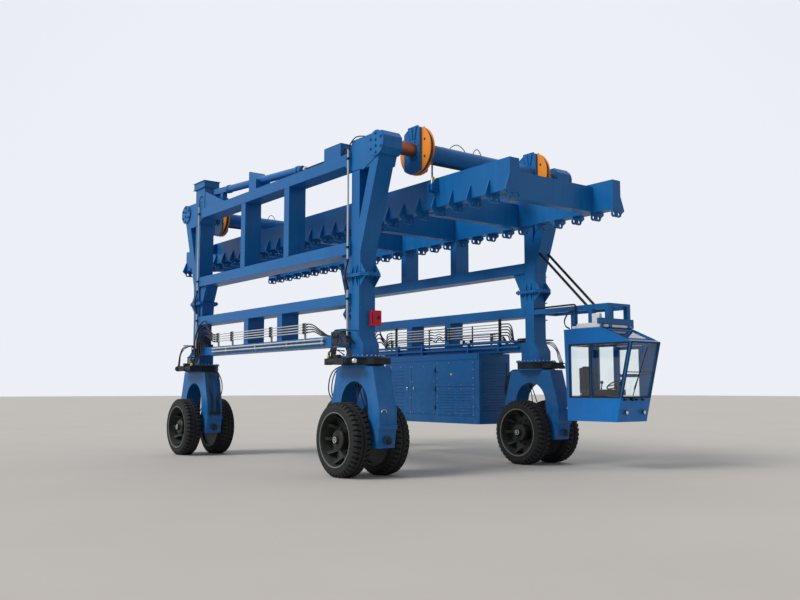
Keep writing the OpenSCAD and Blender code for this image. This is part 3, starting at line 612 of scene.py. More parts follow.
def plain_point(x: float, y: float, z: float) -> Vector:
    """A point given in the frame's axes."""
    return Vector((x, y, z))


def spoke(angle: float) -> Vector:
    """The direction square to Y at an angle from X towards Z."""
    return Vector((math.cos(angle), 0, math.sin(angle)))


def rectangle(low: tuple[float, float], high: tuple[float, float]) -> list[tuple[float, float]]:
    """The corners of a rectangle between two opposite ones."""
    return [low, (high[0], low[1]), high, (low[0], high[1])]


class Shape:
    """A mesh that is put together from simple forms before it is placed."""

    # The depth of the grooves between a rope's strands, and the length of its lay, in radii
    STRAND_DEPTH, ROPE_LAY = 0.14, 7
    # The length of the fitting on a hose's end, and its width as a share of the hose's
    FITTING, CRIMP = 0.05, 1.35

    def __init__(self) -> None:
        """Starts with an empty mesh."""
        self.mesh = bmesh.new()

    def skin(self, rings: Sequence[Sequence[Point]], loop: bool = False) -> Shape:
        """Joins closed rings of points in order.

        Args:
            rings: The rings, each with as many points as the others.
            loop: Whether the last ring is joined to the first, instead of both being closed by a face.

        Returns:
            The shape itself.
        """
        rows = [[self.mesh.verts.new(point) for point in ring] for ring in rings]
        pairs = list(zip(rows, rows[1:])) + ([(rows[-1], rows[0])] if loop else [])
        for low, high in pairs:
            for i, j in zip(range(len(low)), [*range(1, len(low)), 0]):
                self.mesh.faces.new((low[i], low[j], high[j], high[i]))
        if not loop:
            self.mesh.faces.new(reversed(rows[0]))
            self.mesh.faces.new(rows[-1])
        return self

    def tube(
        self, path: Sequence[Point], radius: float, sides: int = 10, strands: int = 0, loop: bool = False
    ) -> Shape:
        """A round bar or hose along a path, or a rope where strands are given.

        Args:
            path: The points of its middle line.
            radius: Its radius.
            sides: Number of points around it.
            strands: Number of strands that a rope shows around it.
            loop: Whether the path is a closed ring.

        Returns:
            The shape itself.
        """
        path = [Vector(point) for point in path]
        last = len(path) - 1
        side, travelled, rings = None, 0.0, []
        for i, point in enumerate(path):
            before = path[i - 1] if i or loop else point
            after = path[0] if loop and i == last else path[min(i + 1, last)]
            ahead = (after - before).normalized()
            side = square_to(ahead)[0] if side is None else (side - ahead * side.dot(ahead)).normalized()
            up = ahead.cross(side)
            travelled += (point - path[i - 1]).length if i else 0.0
            ring = []
            for k in range(sides):
                angle = math.tau * k / sides
                reach = radius
                if strands:
                    wave = abs(math.cos(strands * (angle + travelled / (radius * self.ROPE_LAY)) / 2))
                    reach *= 1 - self.STRAND_DEPTH + self.STRAND_DEPTH * wave
                ring.append(point + side * (math.cos(angle) * reach) + up * (math.sin(angle) * reach))
            rings.append(ring)
        return self.skin(rings, loop=loop)

    def hose(self, points: Sequence[Point], radius: float) -> Shape:
        """A stiff hose with a crimped fitting on each end.

        Args:
            points: The points that it passes.
            radius: Its radius.

        Returns:
            The shape itself.
        """
        path = smooth_path(points, 5)
        self.tube(path, radius, 8)
        for end, inward in ((path[0], path[1]), (path[-1], path[-2])):
            fitting = [end, end.lerp(inward, self.FITTING / (inward - end).length)]
            self.tube(fitting, radius * self.CRIMP, 8)
        return self

    def fan(
        self, knots: Sequence[Knot], count: int, radius: float, place: Callable[..., Vector] = plain_point
    ) -> Shape:
        """Hoses that start and end side by side.

        Args:
            knots: The first hose's knots, each with what every further hose adds to it.
            count: Number of hoses.
            radius: Their radius.
            place: Turns the three numbers of a knot into a point.

        Returns:
            The shape itself.
        """
        for k in range(count):
            self.hose([place(*(first + more * k for first, more in zip(*knot))) for knot in knots], radius)
        return self

    def lathe(
        self,
        profile: Sequence[tuple[float, float]],
        centre: Point,
        axis: Point,
        steps: int = 32,
        loop: bool = False,
    ) -> Shape:
        """A turned form.

        Args:
            profile: Pairs of the distance along the axis and the radius.
            centre: Where the axis starts.
            axis: Its direction.
            steps: Number of points around it.
            loop: Whether the profile is closed, as in a ring.

        Returns:
            The shape itself.
        """
        centre, axis = Vector(centre), Vector(axis).normalized()
        side, up = square_to(axis)
        turns = [math.tau * k / steps for k in range(steps)]
        rings = [
            [centre + axis * along + (side * math.cos(t) + up * math.sin(t)) * radius for t in turns]
            for along, radius in profile
        ]
        return self.skin(rings, loop=loop)

    def ring(self, centre: Point, axis: Point, radius: float, thick: float) -> Shape:
        """A round ring of round section.

        Args:
            centre: Its middle.
            axis: The direction square to it.
            radius: The radius of its middle line.
            thick: The radius of its section.

        Returns:
            The shape itself.
        """
        angles = [math.tau * k / 10 for k in range(10)]
        profile = [(math.cos(a) * thick, radius + math.sin(a) * thick) for a in angles]
        return self.lathe(profile, centre, axis, 48, loop=True)

    def box(self, low: Point, high: Point) -> Shape:
        """A box.

        Args:
            low: One of its corners.
            high: The opposite corner.

        Returns:
            The shape itself.
        """
        (x0, x1), (y0, y1), (z0, z1) = (sorted(pair) for pair in zip(low, high))
        floor = [(x0, y0), (x1, y0), (x1, y1), (x0, y1)]
        return self.skin([[(x, y, z) for x, y in floor] for z in (z0, z1)])

    def slab(self, outline: Sequence[Point], depth: Point) -> Shape:
        """A flat outline pushed along a direction."""
        outline = [Vector(point) for point in outline]
        return self.skin([outline, [point + Vector(depth) for point in outline]])

    def border(self, outline: Sequence[Point], depth: Point, width: float) -> Shape:
        """A flat band around an outline.

        Args:
            outline: The corners of the inner edge.
            depth: Its thickness as a vector square to the outline.
            width: Its width.

        Returns:
            The shape itself.
        """
        inner, depth = [Vector(point) for point in outline], Vector(depth)
        middle = sum(inner, Vector()) / len(inner)
        outer = []
        for before, here, after in zip([inner[-1], *inner], inner, [*inner[1:], inner[0]]):
            out = [depth.cross(end - start).normalized() for start, end in ((before, here), (here, after))]
            out = [v if v.dot(here - middle) > 0 else -v for v in out]
            outer.append(here + (out[0] + out[1]) * (width / (1 + out[0].dot(out[1]))))
        return self.skin([inner, outer, [p + depth for p in outer], [p + depth for p in inner]], loop=True)

    def bolt(self, place: Point, axis: Point, size: float) -> Shape:
        """A hexagon head on its washer.

        Args:
            place: The middle of the face that it sits on.
            axis: The direction out of that face.
            size: The head's width.

        Returns:
            The shape itself.
        """
        self.lathe([(-0.1 * size, 0.75 * size), (0.14 * size, 0.75 * size)], place, axis, 14)
        head = [(0.1 * size, 0.56 * size), (0.62 * size, 0.56 * size), (0.75 * size, 0.44 * size)]
        return self.lathe(head, place, axis, 6)

    def bolt_circle(self, centre: Vector, axis: Point, radius: float, count: int, size: float) -> Shape:
        """Bolts evenly around a centre.

        Args:
            centre: The middle of the circle, on the face that they sit on.
            axis: The direction out of that face.
            radius: The circle's radius.
            count: Number of bolts.
            size: Width of their heads.

        Returns:
            The shape itself.
        """
        side, up = square_to(Vector(axis))
        for k in range(count):
            turn = math.tau * (k + 0.5) / count
            self.bolt(centre + (side * math.cos(turn) + up * math.sin(turn)) * radius, axis, size)
        return self


@dataclass
class Workshop:
    """Turns shapes into pieces that ride on the frame's bodies.

    Args:
        finisher: Where the materials come from.
        layout: The machine's main axes.
    """

    finisher: Finisher
    layout: Layout

    # The angle from which an edge of a made piece stays sharp
    SHARP = math.radians(35)

    @property
    def corners(self) -> tuple[Corner, ...]:
        """The four corners, from the front right one to the rear left one."""
        signs = (("fr", 1, -1), ("fl", 1, 1), ("rr", -1, -1), ("rl", -1, 1))
        return tuple(Corner(*row, self.layout) for row in signs)

    def place(
        self,
        shape: Shape,
        name: str,
        finish: Finish,
        body: Body = Body.ROOT,
        corner: Corner | None = None,
        edge: float = 0.0,
        replaces: Sequence[str] = (),
        spans: tuple[str, Point, Point] | None = None,
    ) -> bpy.types.Object:
        """Makes one piece.

        Args:
            shape: Its form, which is used up.
            name: Its name, to which a corner adds its letters.
            finish: Its finish.
            body: The body that it rides on.
            corner: The corner that it belongs to, if it is one of four.
            edge: Width of its rounded edges.
            replaces: Nodes of the frame that it stands for.
            spans: A second body and two points; when they are given, the piece rides on no body and its place
                is baked into its mesh, without a bend.

        Returns:
            The piece.
        """
        carrier = body.value
        if corner:
            name = f"{corner.tag}_{name}"
            carrier = carrier if body is Body.ROOT else f"{corner.tag}_{carrier}"
        bmesh.ops.recalc_face_normals(shape.mesh, faces=shape.mesh.faces)
        mesh = bpy.data.meshes.new(name)
        shape.mesh.to_mesh(mesh)
        shape.mesh.free()
        mesh.materials.append(self.finisher.material(finish))
        mesh.shade_smooth()
        mesh.set_sharp_from_angle(angle=self.SHARP)
        piece = bpy.data.objects.new(name, mesh)
        bpy.context.scene.collection.objects.link(piece)
        if edge:
            bevel = piece.modifiers.new("edges", "BEVEL")
            bevel.width = edge
            bevel.segments = 2
        if spans:
            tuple(spans[1])
            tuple(spans[2])
            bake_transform(piece)
        else:
            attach(piece, carrier)
        finish in self.finisher.slots
        for node in replaces:
            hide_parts(node)
        log.info("placed %s", name)
        return piece


@dataclass
class Assembly:
    """A group of pieces that belong together.

    Args:
        shop: Makes the pieces.
    """

    shop: Workshop

    def dress(self) -> None:
        """Places all of its pieces."""
        raise NotImplementedError


@dataclass
class Wheels(Assembly):
    """The tyres with their tread, and the trim of the wheels.

    Args:
        inner: Distance of a tyre's inner face from the leg's axis.
        width: Width of a tyre.
        pitches: Number of tread blocks around a tyre's shoulder.
        lean: How far the grooves lean, in radians for each metre from the tyre's middle.
        spokes: Number of ribs in a wheel, and of nuts between them.
        nut_circle: Distance of the nuts from the axle.
        nut_seat: Distance of their seat from the tyre's inner face.
        nut_size: Their width.
    """

    inner: float = 0.245
    width: float = 0.41
    pitches: int = 42
    lean: float = 0.3
    spokes: int = 10
    nut_circle: float = 0.25
    nut_seat: float = 0.13
    nut_size: float = 0.036

    # Half of a tyre's section: distance from the face, radius, depth of the grooves there
    HALF = (
        (0.0, 0.5205, 0.0), (0.0, 0.557, 0.0), (0.007, 0.566, 0.0), (0.003, 0.6, 0.0),
        (0.012, 0.632, 0.0), (0.02, 0.643, 0.004), (0.027, 0.657, 0.022), (0.044, 0.684, 0.038),
        (0.06, 0.7, 0.046), (0.145, 0.7, 0.034), (0.15, 0.7, 0.0), (0.184, 0.7, 0.0), (0.189, 0.68, 0.0),
    )
    # Places of the section within one pitch
    STATIONS = (0.0, 0.03, 0.33, 0.36, 0.5, 0.53, 0.83, 0.86)
    # A groove lies between these places, half a pitch later on the second half of the tyre
    GROOVE = (0.02, 0.34)

    # Turned forms: distance from the tyre's inner face, radius
    RIM_RING = ((0.399, 0.499), (0.407, 0.503), (0.407, 0.517), (0.399, 0.5195))
    HUB = (
        (0.118, 0.3), (0.131, 0.298), (0.131, 0.187), (0.312, 0.187), (0.33, 0.17), (0.336, 0.1),
        (0.34, 0.078), (0.388, 0.072), (0.394, 0.062),
    )
    BUTTON = ((0.39, 0.02), (0.4, 0.02), (0.404, 0.012))
    # The bright ring on a hub: distance from the tyre's inner face, radius, radius of its section
    HUB_RING = (0.392, 0.052, 0.008)

    # A rib's web and the flange on its edge: half of the thickness, then radius and distance of the corners
    RIB = (
        (0.006, ((0.34, 0.118), (0.485, 0.118), (0.485, 0.3), (0.455, 0.3))),
        (0.028, ((0.34, 0.118), (0.348, 0.113), (0.463, 0.295), (0.455, 0.3))),
    )

    def hub(self, corner: Corner, side: int) -> tuple[Vector, Vector]:
        """The middle of a tyre's inner face, and the direction outwards along its axle."""
        face = corner.at_leg(0, side * self.inner, self.shop.layout.axle_z)
        return face, Vector((0, corner.left * side, 0))

    def add_tyre(self, shape: Shape, face: Vector, out: Vector) -> None:
        """Adds one tyre with chunky shoulder blocks and a groove around its middle.

        Args:
            shape: The shape that it is added to.
            face: The middle of its inner face.
            out: The direction outwards along its axle.
        """
        section = [(t, r, cut, 0.0) for t, r, cut in self.HALF]
        section += [(self.width - t, r, cut, 0.5) for t, r, cut in reversed(self.HALF)]
        start, end = self.GROOVE
        rings = []
        for pitch in range(self.pitches):
            for station in self.STATIONS:
                ring = []
                for t, r, cut, late in section:
                    angle = math.tau * (pitch + station) / self.pitches + self.lean * abs(t - self.width / 2)
                    reach = r - cut * (start < station - late < end)
                    ring.append(face + out * t + spoke(angle) * reach)
                rings.append(ring)
        shape.skin(rings, loop=True)

    def add_ribs(self, shape: Shape, face: Vector, out: Vector) -> None:
        """Adds the stiffening ribs in the dish of a wheel.

        Args:
            shape: The shape that they are added to.
            face: The middle of the tyre's inner face.
            out: The direction outwards along its axle.
        """
        for k in range(self.spokes):
            arm = spoke(math.pi + math.tau * k / self.spokes)
            across = arm.cross(out)
            for half, outline in self.RIB:
                points = [face + arm * r + out * t - across * half for r, t in outline]
                shape.slab(points, across * (2 * half))

    def dress(self) -> None:
        """Places the tyres and the trim on all four axles."""
        seat, radius, thick = self.HUB_RING
        for corner in self.shop.corners:
            tyres, rings, hubs, chrome, nuts, ribs = (Shape() for _ in range(6))
            for side in (-1, 1):
                face, out = self.hub(corner, side)
                self.add_tyre(tyres, face, out)
                rings.lathe(self.RIM_RING, face, out, 64, loop=True)
                hubs.lathe(self.HUB, face, out, 48)
                chrome.ring(face + out * seat, out, radius, thick)
                chrome.lathe(self.BUTTON, face, out, 16)
                nuts.bolt_circle(face + out * self.nut_seat, out, self.nut_circle, self.spokes, self.nut_size)
                self.add_ribs(ribs, face, out)
            place = partial(self.shop.place, body=Body.WHEELS, corner=corner)
            place(tyres, "treaded_tyres", Finish.TYRE, replaces=[f"{corner.tag}_tyres"])
            place(rings, "rim_rings", Finish.RING_GREY)
            place(hubs, "hub_caps", Finish.HUB_BLACK)
            place(chrome, "hub_rings", Finish.LAMP_CHROME)
            place(nuts, "wheel_nuts", Finish.HUB_BLACK)
            place(ribs, "dish_ribs", Finish.RIM_PAINT, edge=0.002)


@dataclass
class Rigging(Assembly):
    """The wire ropes and what holds their ends.

    Args:
        rope: Radius of the ropes.
        rope_x: Distance of the hoist ropes from the middle, along the machine.
        lug_z: Height of the rope ends on the raised spreader.
        pull_y: Distance of the pull ropes from the middle, across the machine.
        pull_z: Their height.
        pull_x: Where they leave the cylinders' rods.
        pull_length: Their length at rest.
        pull_bend: Two places along them that are handed on with the ropes; nothing stretches them.
    """

    rope: float = 0.017
    rope_x: float = 4.805
    lug_z: float = 5.56
    pull_y: float = 2.41
    pull_z: float = 6.4084
    pull_x: float = 1.4945
    pull_length: float = 1.545
    pull_bend: tuple[float, float] = (3.0, 1.55)

    # Number of steps along a sheave's turn, a hoist rope and a pull rope
    TURN_STEPS, HOIST_STEPS, PULL_STEPS = 160, 74, 120
    # A rope's socket: height above its lug, radius
    SOCKET = ((-0.012, 0.04), (0.012, 0.04), (0.018, 0.034), (0.1, 0.022), (0.11, 0.0185))

    def wire(self, shape: Shape, path: Sequence[Point], loop: bool = False) -> None:
        """Adds a rope of six strands along a path."""
        shape.tube(path, self.rope, 18, 6, loop)

    def add_sheave_ropes(self) -> None:
        """Lays a turn of rope in the groove of each sheave."""
        layout = self.shop.layout
        reach = self.rope_x - layout.tube_x
        for corner in self.shop.corners:
            turn, path = Shape(), []
            for k in range(self.TURN_STEPS):
                angle = math.tau * k / self.TURN_STEPS
                x, z = layout.tube_x + math.cos(angle) * reach, layout.tube_z + math.sin(angle) * reach
                path.append(corner.place(x, layout.sheave_y, z))
            self.wire(turn, path, loop=True)
            self.shop.place(turn, "rope_turn", Finish.ROPE_STEEL, Body.SHEAVE, corner)

    def add_hoist_ropes(self) -> None:
        """Hangs the ropes from the sheaves to the lugs on the spreader."""
        wires, sockets = Shape(), Shape()
        top, y = self.shop.layout.tube_z, self.shop.layout.sheave_y
        for corner in self.shop.corners:
            heights = [top + (self.lug_z - top) * k / self.HOIST_STEPS for k in range(self.HOIST_STEPS + 1)]
            self.wire(wires, [corner.place(self.rope_x, y, z) for z in heights])
            sockets.lathe(self.SOCKET, corner.place(self.rope_x, y, self.lug_z), (0, 0, 1))
        spans = (Body.SPREADER.value, (0, 0, top - 0.02), (0, 0, self.lug_z + 0.12))
        self.shop.place(wires, "hoist_wires", Finish.ROPE_STEEL, replaces=["hoist_ropes"], spans=spans)
        self.shop.place(sockets, "rope_sockets", Finish.ZINC, Body.SPREADER)

    def add_pull_ropes(self) -> None:
        """Stretches the ropes from the cylinders' rods to the boxes ahead of them."""
        for name, left in (("right", -1), ("left", 1)):
            wire, y, z = Shape(), left * self.pull_y, self.pull_z
            steps = range(self.PULL_STEPS + 1)
            self.wire(wire, [(self.pull_x + self.pull_length * k / self.PULL_STEPS, y, z) for k in steps])
            start, end = self.pull_bend
            spans = (f"{name}_rod", (start, y, z), (end, y, z))
            self.shop.place(
                wire, f"{name}_pull_wire", Finish.ROPE_STEEL, replaces=["pull_ropes"], spans=spans
            )

    def dress(self) -> None:
        """Places all ropes."""
        self.add_sheave_ropes()
        self.add_hoist_ropes()
        self.add_pull_ropes()


@dataclass
class Fasteners(Assembly):
    """Bolts, nuts and weld beads of the steelwork.

    Args:
        flange_top: Height of the upper face of the legs' bolted flanges.
        flange_foot: Height of their lower face.
        ring_top: Height of the slew rings' upper faces.
        disc_y: Distance of the end discs' faces from the legs' axes.
        plate_y: Distance of the sheave plates' outer faces from the sheaves' middle.
        pin_x: Distance of the pins' ends from the legs' axes.
        sheave_circle: Distance of a sheave's bolts from its axis.
        chord_x: Distance of the chords' weld beads from the middle.
        post_half: Half of a post's width with its beads.
        bead: Radius of a weld bead.
    """

    flange_top: float = 3.87
    flange_foot: float = 3.81
    ring_top: float = 2.27
    disc_y: float = 0.23
    plate_y: float = 0.112
    pin_x: float = 0.838
    sheave_circle: float = 0.34
    chord_x: float = 3.493
    post_half: float = 0.1075
    bead: float = 0.0075

    # Places of the bolts of a leg's flange: along X and along Y from the leg's axis
    FLANGE = (
        *((x, y) for y in (-0.218, 0.218) for x in (-0.31, -0.23, -0.14, 0.0, 0.13, 0.21)),
        *((0.315, y) for y in (-0.1, 0.0, 0.1)),
    )
    # The chords' undersides and tops, and the posts' places along X, undersides and tops
    CHORDS = ((6.05, 6.29), (4.27, 4.51), (3.275, 3.49), (2.49, 2.69))
    POSTS = ((1.02, 4.51, 6.05), (0.78, 2.69, 3.275))
    FLANGE_BOLT = 0.034
    # Circles of bolts: radius of the circle, number of bolts, width of their heads
    RING_BOLTS, PLATE_BOLTS, PIN_BOLTS = (0.418, 30, 0.026), (0.166, 8, 0.026), (0.05, 4, 0.02)
    DISC_BOLTS = ((0.185, 6, 0.04), (0.06, 2, 0.04))
    # Turned forms: distance along the axis, radius
    PIN_CAP = ((0.0, 0.078), (0.012, 0.078), (0.016, 0.07))
    SHEAVE_BOLT = ((-0.058, 0.018), (-0.054, 0.026), (0.054, 0.026), (0.058, 0.018))

    def dress_legs(self) -> None:
        """Bolts of the leg flanges, slew rings, end discs and sheave plates, and the pins' caps."""
        layout = self.shop.layout
        for corner in self.shop.corners:
            bolts, painted, pins = Shape(), Shape(), Shape()
            for x, y in self.FLANGE:
                painted.bolt(corner.at_leg(x, y, self.flange_top), (0, 0, 1), self.FLANGE_BOLT)
                painted.bolt(corner.at_leg(x, y, self.flange_foot), (0, 0, -1), self.FLANGE_BOLT)
            bolts.bolt_circle(corner.at_leg(0, 0, self.ring_top), (0, 0, 1), *self.RING_BOLTS)
            out = (0, corner.left, 0)
            disc = corner.at_leg(layout.tube_x - layout.leg_x, self.disc_y, layout.tube_z)
            for circle in self.DISC_BOLTS:
                painted.bolt_circle(disc, out, *circle)
            plate = corner.place(layout.tube_x, layout.sheave_y + self.plate_y, layout.tube_z)
            painted.bolt_circle(plate, out, *self.PLATE_BOLTS)
            for end in (-1, 1):
                axis = Vector((end * corner.ahead, 0, 0))
                cap = corner.at_leg(end * self.pin_x, 0, layout.axle_z)
                pins.lathe(self.PIN_CAP, cap, axis, 28)
                pins.bolt_circle(cap + axis * self.PIN_CAP[-1][0], axis, *self.PIN_BOLTS)
            self.shop.place(bolts, "ring_bolts", Finish.ZINC, corner=corner)
            self.shop.place(painted, "frame_bolts", Finish.FRAME_PAINT, corner=corner)
            self.shop.place(pins, "pin_caps", Finish.DARK_STEEL, Body.STEERING, corner)

    def dress_sheaves(self) -> None:
        """Dark bolts through the holes of each sheave."""
        layout, count = self.shop.layout, 6
        for corner in self.shop.corners:
            bolts = Shape()
            for k in range(count):
                arm = spoke(math.tau * (k + 0.5) / count) * self.sheave_circle
                centre = corner.place(layout.tube_x + arm.x, layout.sheave_y, layout.tube_z + arm.z)
                bolts.lathe(self.SHEAVE_BOLT, centre, (0, 1, 0), 20)
            self.shop.place(bolts, "sheave_bolts", Finish.HUB_BLACK, Body.SHEAVE, corner)

    def add_bead(self, shape: Shape, low: Point, high: Point, axis: int) -> None:
        """Adds a weld bead around a box section.

        Args:
            shape: The shape that it is added to.
            low: One corner of the section.
            high: The opposite corner, in the same plane.
            axis: Number of the axis that the plane is square to.
        """
        first, second = [i for i in range(3) if i != axis]
        corners = []
        for a, b in ((low, low), (high, low), (high, high), (low, high)):
            point = list(low)
            point[first], point[second] = a[first], b[second]
            corners.append(Vector(point))
        sides = zip(corners, [*corners[1:], corners[0]])
        shape.tube([a.lerp(b, k / 12) for a, b in sides for k in range(12)], self.bead, 6, loop=True)

    def dress_welds(self) -> None:
        """Weld beads where chords meet legs and where posts meet chords."""
        beads = Shape()
        for left, ahead in product((-1, 1), (-1, 1)):
            near, far = sorted((left * self.shop.layout.inner_y, left * self.shop.layout.outer_y))
            for low, high in self.CHORDS:
                x = ahead * self.chord_x
                self.add_bead(beads, (x, near, low), (x, far, high), 0)
            for middle, foot, head in self.POSTS:
                x = ahead * middle
                for z in (foot + 0.002, head - 0.002):
                    self.add_bead(beads, (x - self.post_half, near, z), (x + self.post_half, far, z), 2)
        self.shop.place(beads, "weld_beads", Finish.FRAME_PAINT)

    def dress(self) -> None:
        """Places all fasteners."""
        self.dress_legs()
        self.dress_sheaves()
        self.dress_welds()


@dataclass
class UnitTrim(Assembly):
    """Conduit clamps, motors, valve blocks and hoses at the legs and steering units.

    Args:
        conduit_x: Place of the legs' conduits along the machine, from the leg's axis.
        sleeve: Radius of the hoses that pass the legs' flanges.
        thin: Radius of the thin hoses over the units.
        thick: Radius of the hoses from the distributor.
        drop: Radius of the hoses down the yokes.
        inner: Radius of the hoses to the wheels.
    """

    conduit_x: float = -0.175
    sleeve: float = 0.023
    thin: float = 0.0095
    thick: float = 0.014
    drop: float = 0.012
    inner: float = 0.011

    # Every place is given from the leg's axis: X towards the machine's end, Y towards its outer side, Z up
    CLAMPS = (2.62, 3.37, 4.38, 6.15)
    SLEEVE = ((0.25, 4.17), (0.262, 4.08), (0.3, 3.96), (0.302, 3.76), (0.262, 3.66), (0.25, 3.57))
    # The motor's cap: distance along the axis, radius
    MOTOR_CAP = ((0.15, 0.05), (0.185, 0.05), (0.2, 0.04), (0.205, 0.02))
    BEACON = ((0.0, 0.03), (0.05, 0.03), (0.065, 0.02), (0.07, 0.008))
    HOSE_FRAME = (
        ((-0.4, 0.46, 2.2), (-0.4, 0.46, 2.74), (0.1, 0.46, 2.76), (0.1, 0.19, 2.76)),
        ((-0.4, 0.46, 2.45), (-0.15, 0.46, 2.45), (-0.15, 0.19, 2.45)),
    )
    BLOCKS = (
        ((-0.52, 0.43, 2.11), (-0.42, 0.55, 2.235)), ((-0.2, 0.46, 2.24), (-0.06, 0.54, 2.3)),
        ((-0.7, 0.02, 2.685), (-0.36, 0.15, 2.77)),
    )
    # Fans of thin hoses: the number of hoses, and the knots of the first with what each further one adds
    FANS = {
        5: (
            ((-0.12, 0.205, 2.64), (0.04, 0, -0.03)), ((-0.18, 0.3, 2.67), (0.03, 0, -0.03)),
            ((-0.3, 0.41, 2.6), (0.035, 0, -0.03)), ((-0.4, 0.475, 2.43), (0.05, 0, 0)),
            ((-0.44, 0.49, 2.23), (0.055, 0, 0)),
        ),
        3: (
            ((-0.175, 0.25, 2.61), (-0.02, 0, 0)), ((-0.28, 0.36, 2.69), (0, 0, 0.02)),
            ((-0.3, 0.47, 2.72), (0.04, 0, 0)), ((-0.02, 0.5, 2.66), (0.04, 0, 0.02)),
            ((0.14, 0.52, 2.52), (0.03, 0, 0)), ((0.2, 0.51, 2.36), (0.04, 0, 0)),
            ((0.28, 0.49, 2.23), (0.04, 0, 0)),
        ),
        2: (
            ((-0.26, 0.25, 2.3), (0, 0, 0.08)), ((-0.38, 0.36, 2.4), (0, 0, 0)),
            ((-0.47, 0.45, 2.36), (0, 0.03, 0)), ((-0.48, 0.47, 2.23), (0, 0, 0)),
        ),
    }
    # Hoses down a yoke's outside: X, share of the bulge, share of the hose's own Y, Z
    YOKE_DROP = (
        (-0.5, 0, 0.8, 2.083), (-0.62, 0, 0.9, 2.075), (-0.7, 1, 1.1, 1.98), (-0.78, 1, 1.25, 1.8),
        (-0.83, 0.9, 1.1, 1.58), (-0.81, 0.5, 0.7, 1.38), (-0.83, 0.5, 0.8, 1.2), (-0.842, 0, 0.9, 1.04),
    )
    DROP_Y = (-0.16, -0.1, -0.03, 0.07, 0.13, 0.17)
    # Hoses under a yoke to one of its two wheels
    WHEEL_HOSES = (
        ((-0.2, 0.03, 1.745), (-0.1, 0.05, 1.5), (-0.03, 0.1, 1.2), (0.0, 0.16, 0.9)),
        ((-0.43, 0.04, 1.38), (-0.3, 0.07, 1.25), (-0.16, 0.11, 1.05), (-0.1, 0.16, 0.86)),
    )

    def dress_conduits(self) -> None:
        """Clamps on the leg conduits, and the hoses that pass the legs' flanges."""
        x, half = self.conduit_x, 0.035
        for corner in self.shop.corners:
            clamps = Shape()
            for z in self.CLAMPS:
                clamps.box(corner.at_leg(x - half, 0.23, z), corner.at_leg(x + half, 0.278, z + 0.045))
            sleeve = Shape().hose([corner.at_leg(x, y, z) for y, z in self.SLEEVE], self.sleeve)
            self.shop.place(clamps, "conduit_clamps", Finish.HUB_BLACK, corner=corner, edge=0.004)
            self.shop.place(sleeve, "conduit_hose", Finish.HOSE, corner=corner)

    def motor(self, start: Vector, ahead: Point) -> Shape:
        """A small motor with cooling fins.

        Args:
            start: The middle of its rear end.
            ahead: The direction of its axis.

        Returns:
            Its shape.
        """
        profile = [(0.0, 0.05), (0.02, 0.07)]
        for k in range(5):
            fin = 0.03 + k * 0.022
            profile += [(fin, 0.07), (fin + 0.003, 0.06), (fin + 0.015, 0.06)]
        return Shape().lathe([*profile, (0.15, 0.068)], start, ahead, 28)

    def distributor(self, corner: Corner) -> tuple[Knot, ...]:
        """The knots of the hoses that rise from the distributor and fall to the valve block.

        Args:
            corner: The corner that they belong to.

        Returns:
            The first hose's knots, each with what every further hose adds.
        """
        lift, fan = (-0.1, 0.0) if corner.ahead > 0 else (0.0, 0.03)
        return (
            ((-0.4, 0.09, 2.765), (-0.062, 0, 0)), ((-0.4, 0.1, 2.84 + lift / 3), (-0.062, 0, fan / 3)),
            ((-0.4, 0.22, 2.9 + lift), (-0.062, 0, fan)), ((-0.4, 0.31, 2.8 + lift), (-0.052, 0, fan)),
            ((-0.4, 0.31, 2.6), (-0.042, 0, 0)), ((-0.37, 0.38, 2.4), (-0.032, 0, 0)),
            ((-0.34, 0.48, 2.225), (-0.017, 0, 0)),
        )

    def dress_units(self) -> None:
        """Motor, valve block, hose frame and hoses over each steering unit."""
        for corner in self.shop.corners:
            frames, hoses, blocks = Shape(), Shape(), Shape()
            start, ahead = corner.at_leg(0.25, 0.49, 2.17), (corner.ahead, 0, 0)
            cap = Shape().lathe(self.MOTOR_CAP, start, ahead, 28)
            for low, high in self.BLOCKS:
                blocks.box(corner.at_leg(*low), corner.at_leg(*high))
            for points in self.HOSE_FRAME:
                frames.tube(corner.route(points), 0.015)
            for count, knots in self.FANS.items():
                hoses.fan(knots, count, self.thin, corner.at_leg)
            hoses.fan(self.distributor(corner), 5, self.thick, corner.at_leg)
            beacon = Shape().lathe(self.BEACON, corner.at_leg(-0.47, 0.49, 2.235), (0, 0, 1), 20)
            self.shop.place(self.motor(start, ahead), "slew_motor", Finish.DARK_STEEL, corner=corner)
            self.shop.place(cap, "motor_cap", Finish.LAMP_CHROME, corner=corner)
            self.shop.place(frames, "hose_frame", Finish.FRAME_PAINT, corner=corner)
            self.shop.place(hoses, "unit_hoses", Finish.HOSE, corner=corner)
            self.shop.place(blocks, "valve_block", Finish.DARK_STEEL, corner=corner, edge=0.006)
            self.shop.place(beacon, "beacon", Finish.BEACON, corner=corner)

    def yoke_eye(self, corner: Corner) -> Shape:
        """The lifting eye on the end of a yoke.

        Args:
            corner: The corner that the yoke belongs to.

        Returns:
            Its shape.
        """
        eye, y, z, thick = Shape(), 0.11, 1.22, 0.01
        turns = [math.pi * k / 12 for k in range(13)]
        arc = [(0.84, math.cos(turn) * 0.055 + y, z + math.sin(turn) * 0.05) for turn in turns]
        eye.tube(corner.route(arc), thick)
        for foot in (y - 0.055, y + 0.055):
            eye.tube(corner.route([(0.8, foot, z), (0.847, foot, z)]), thick)
        return eye

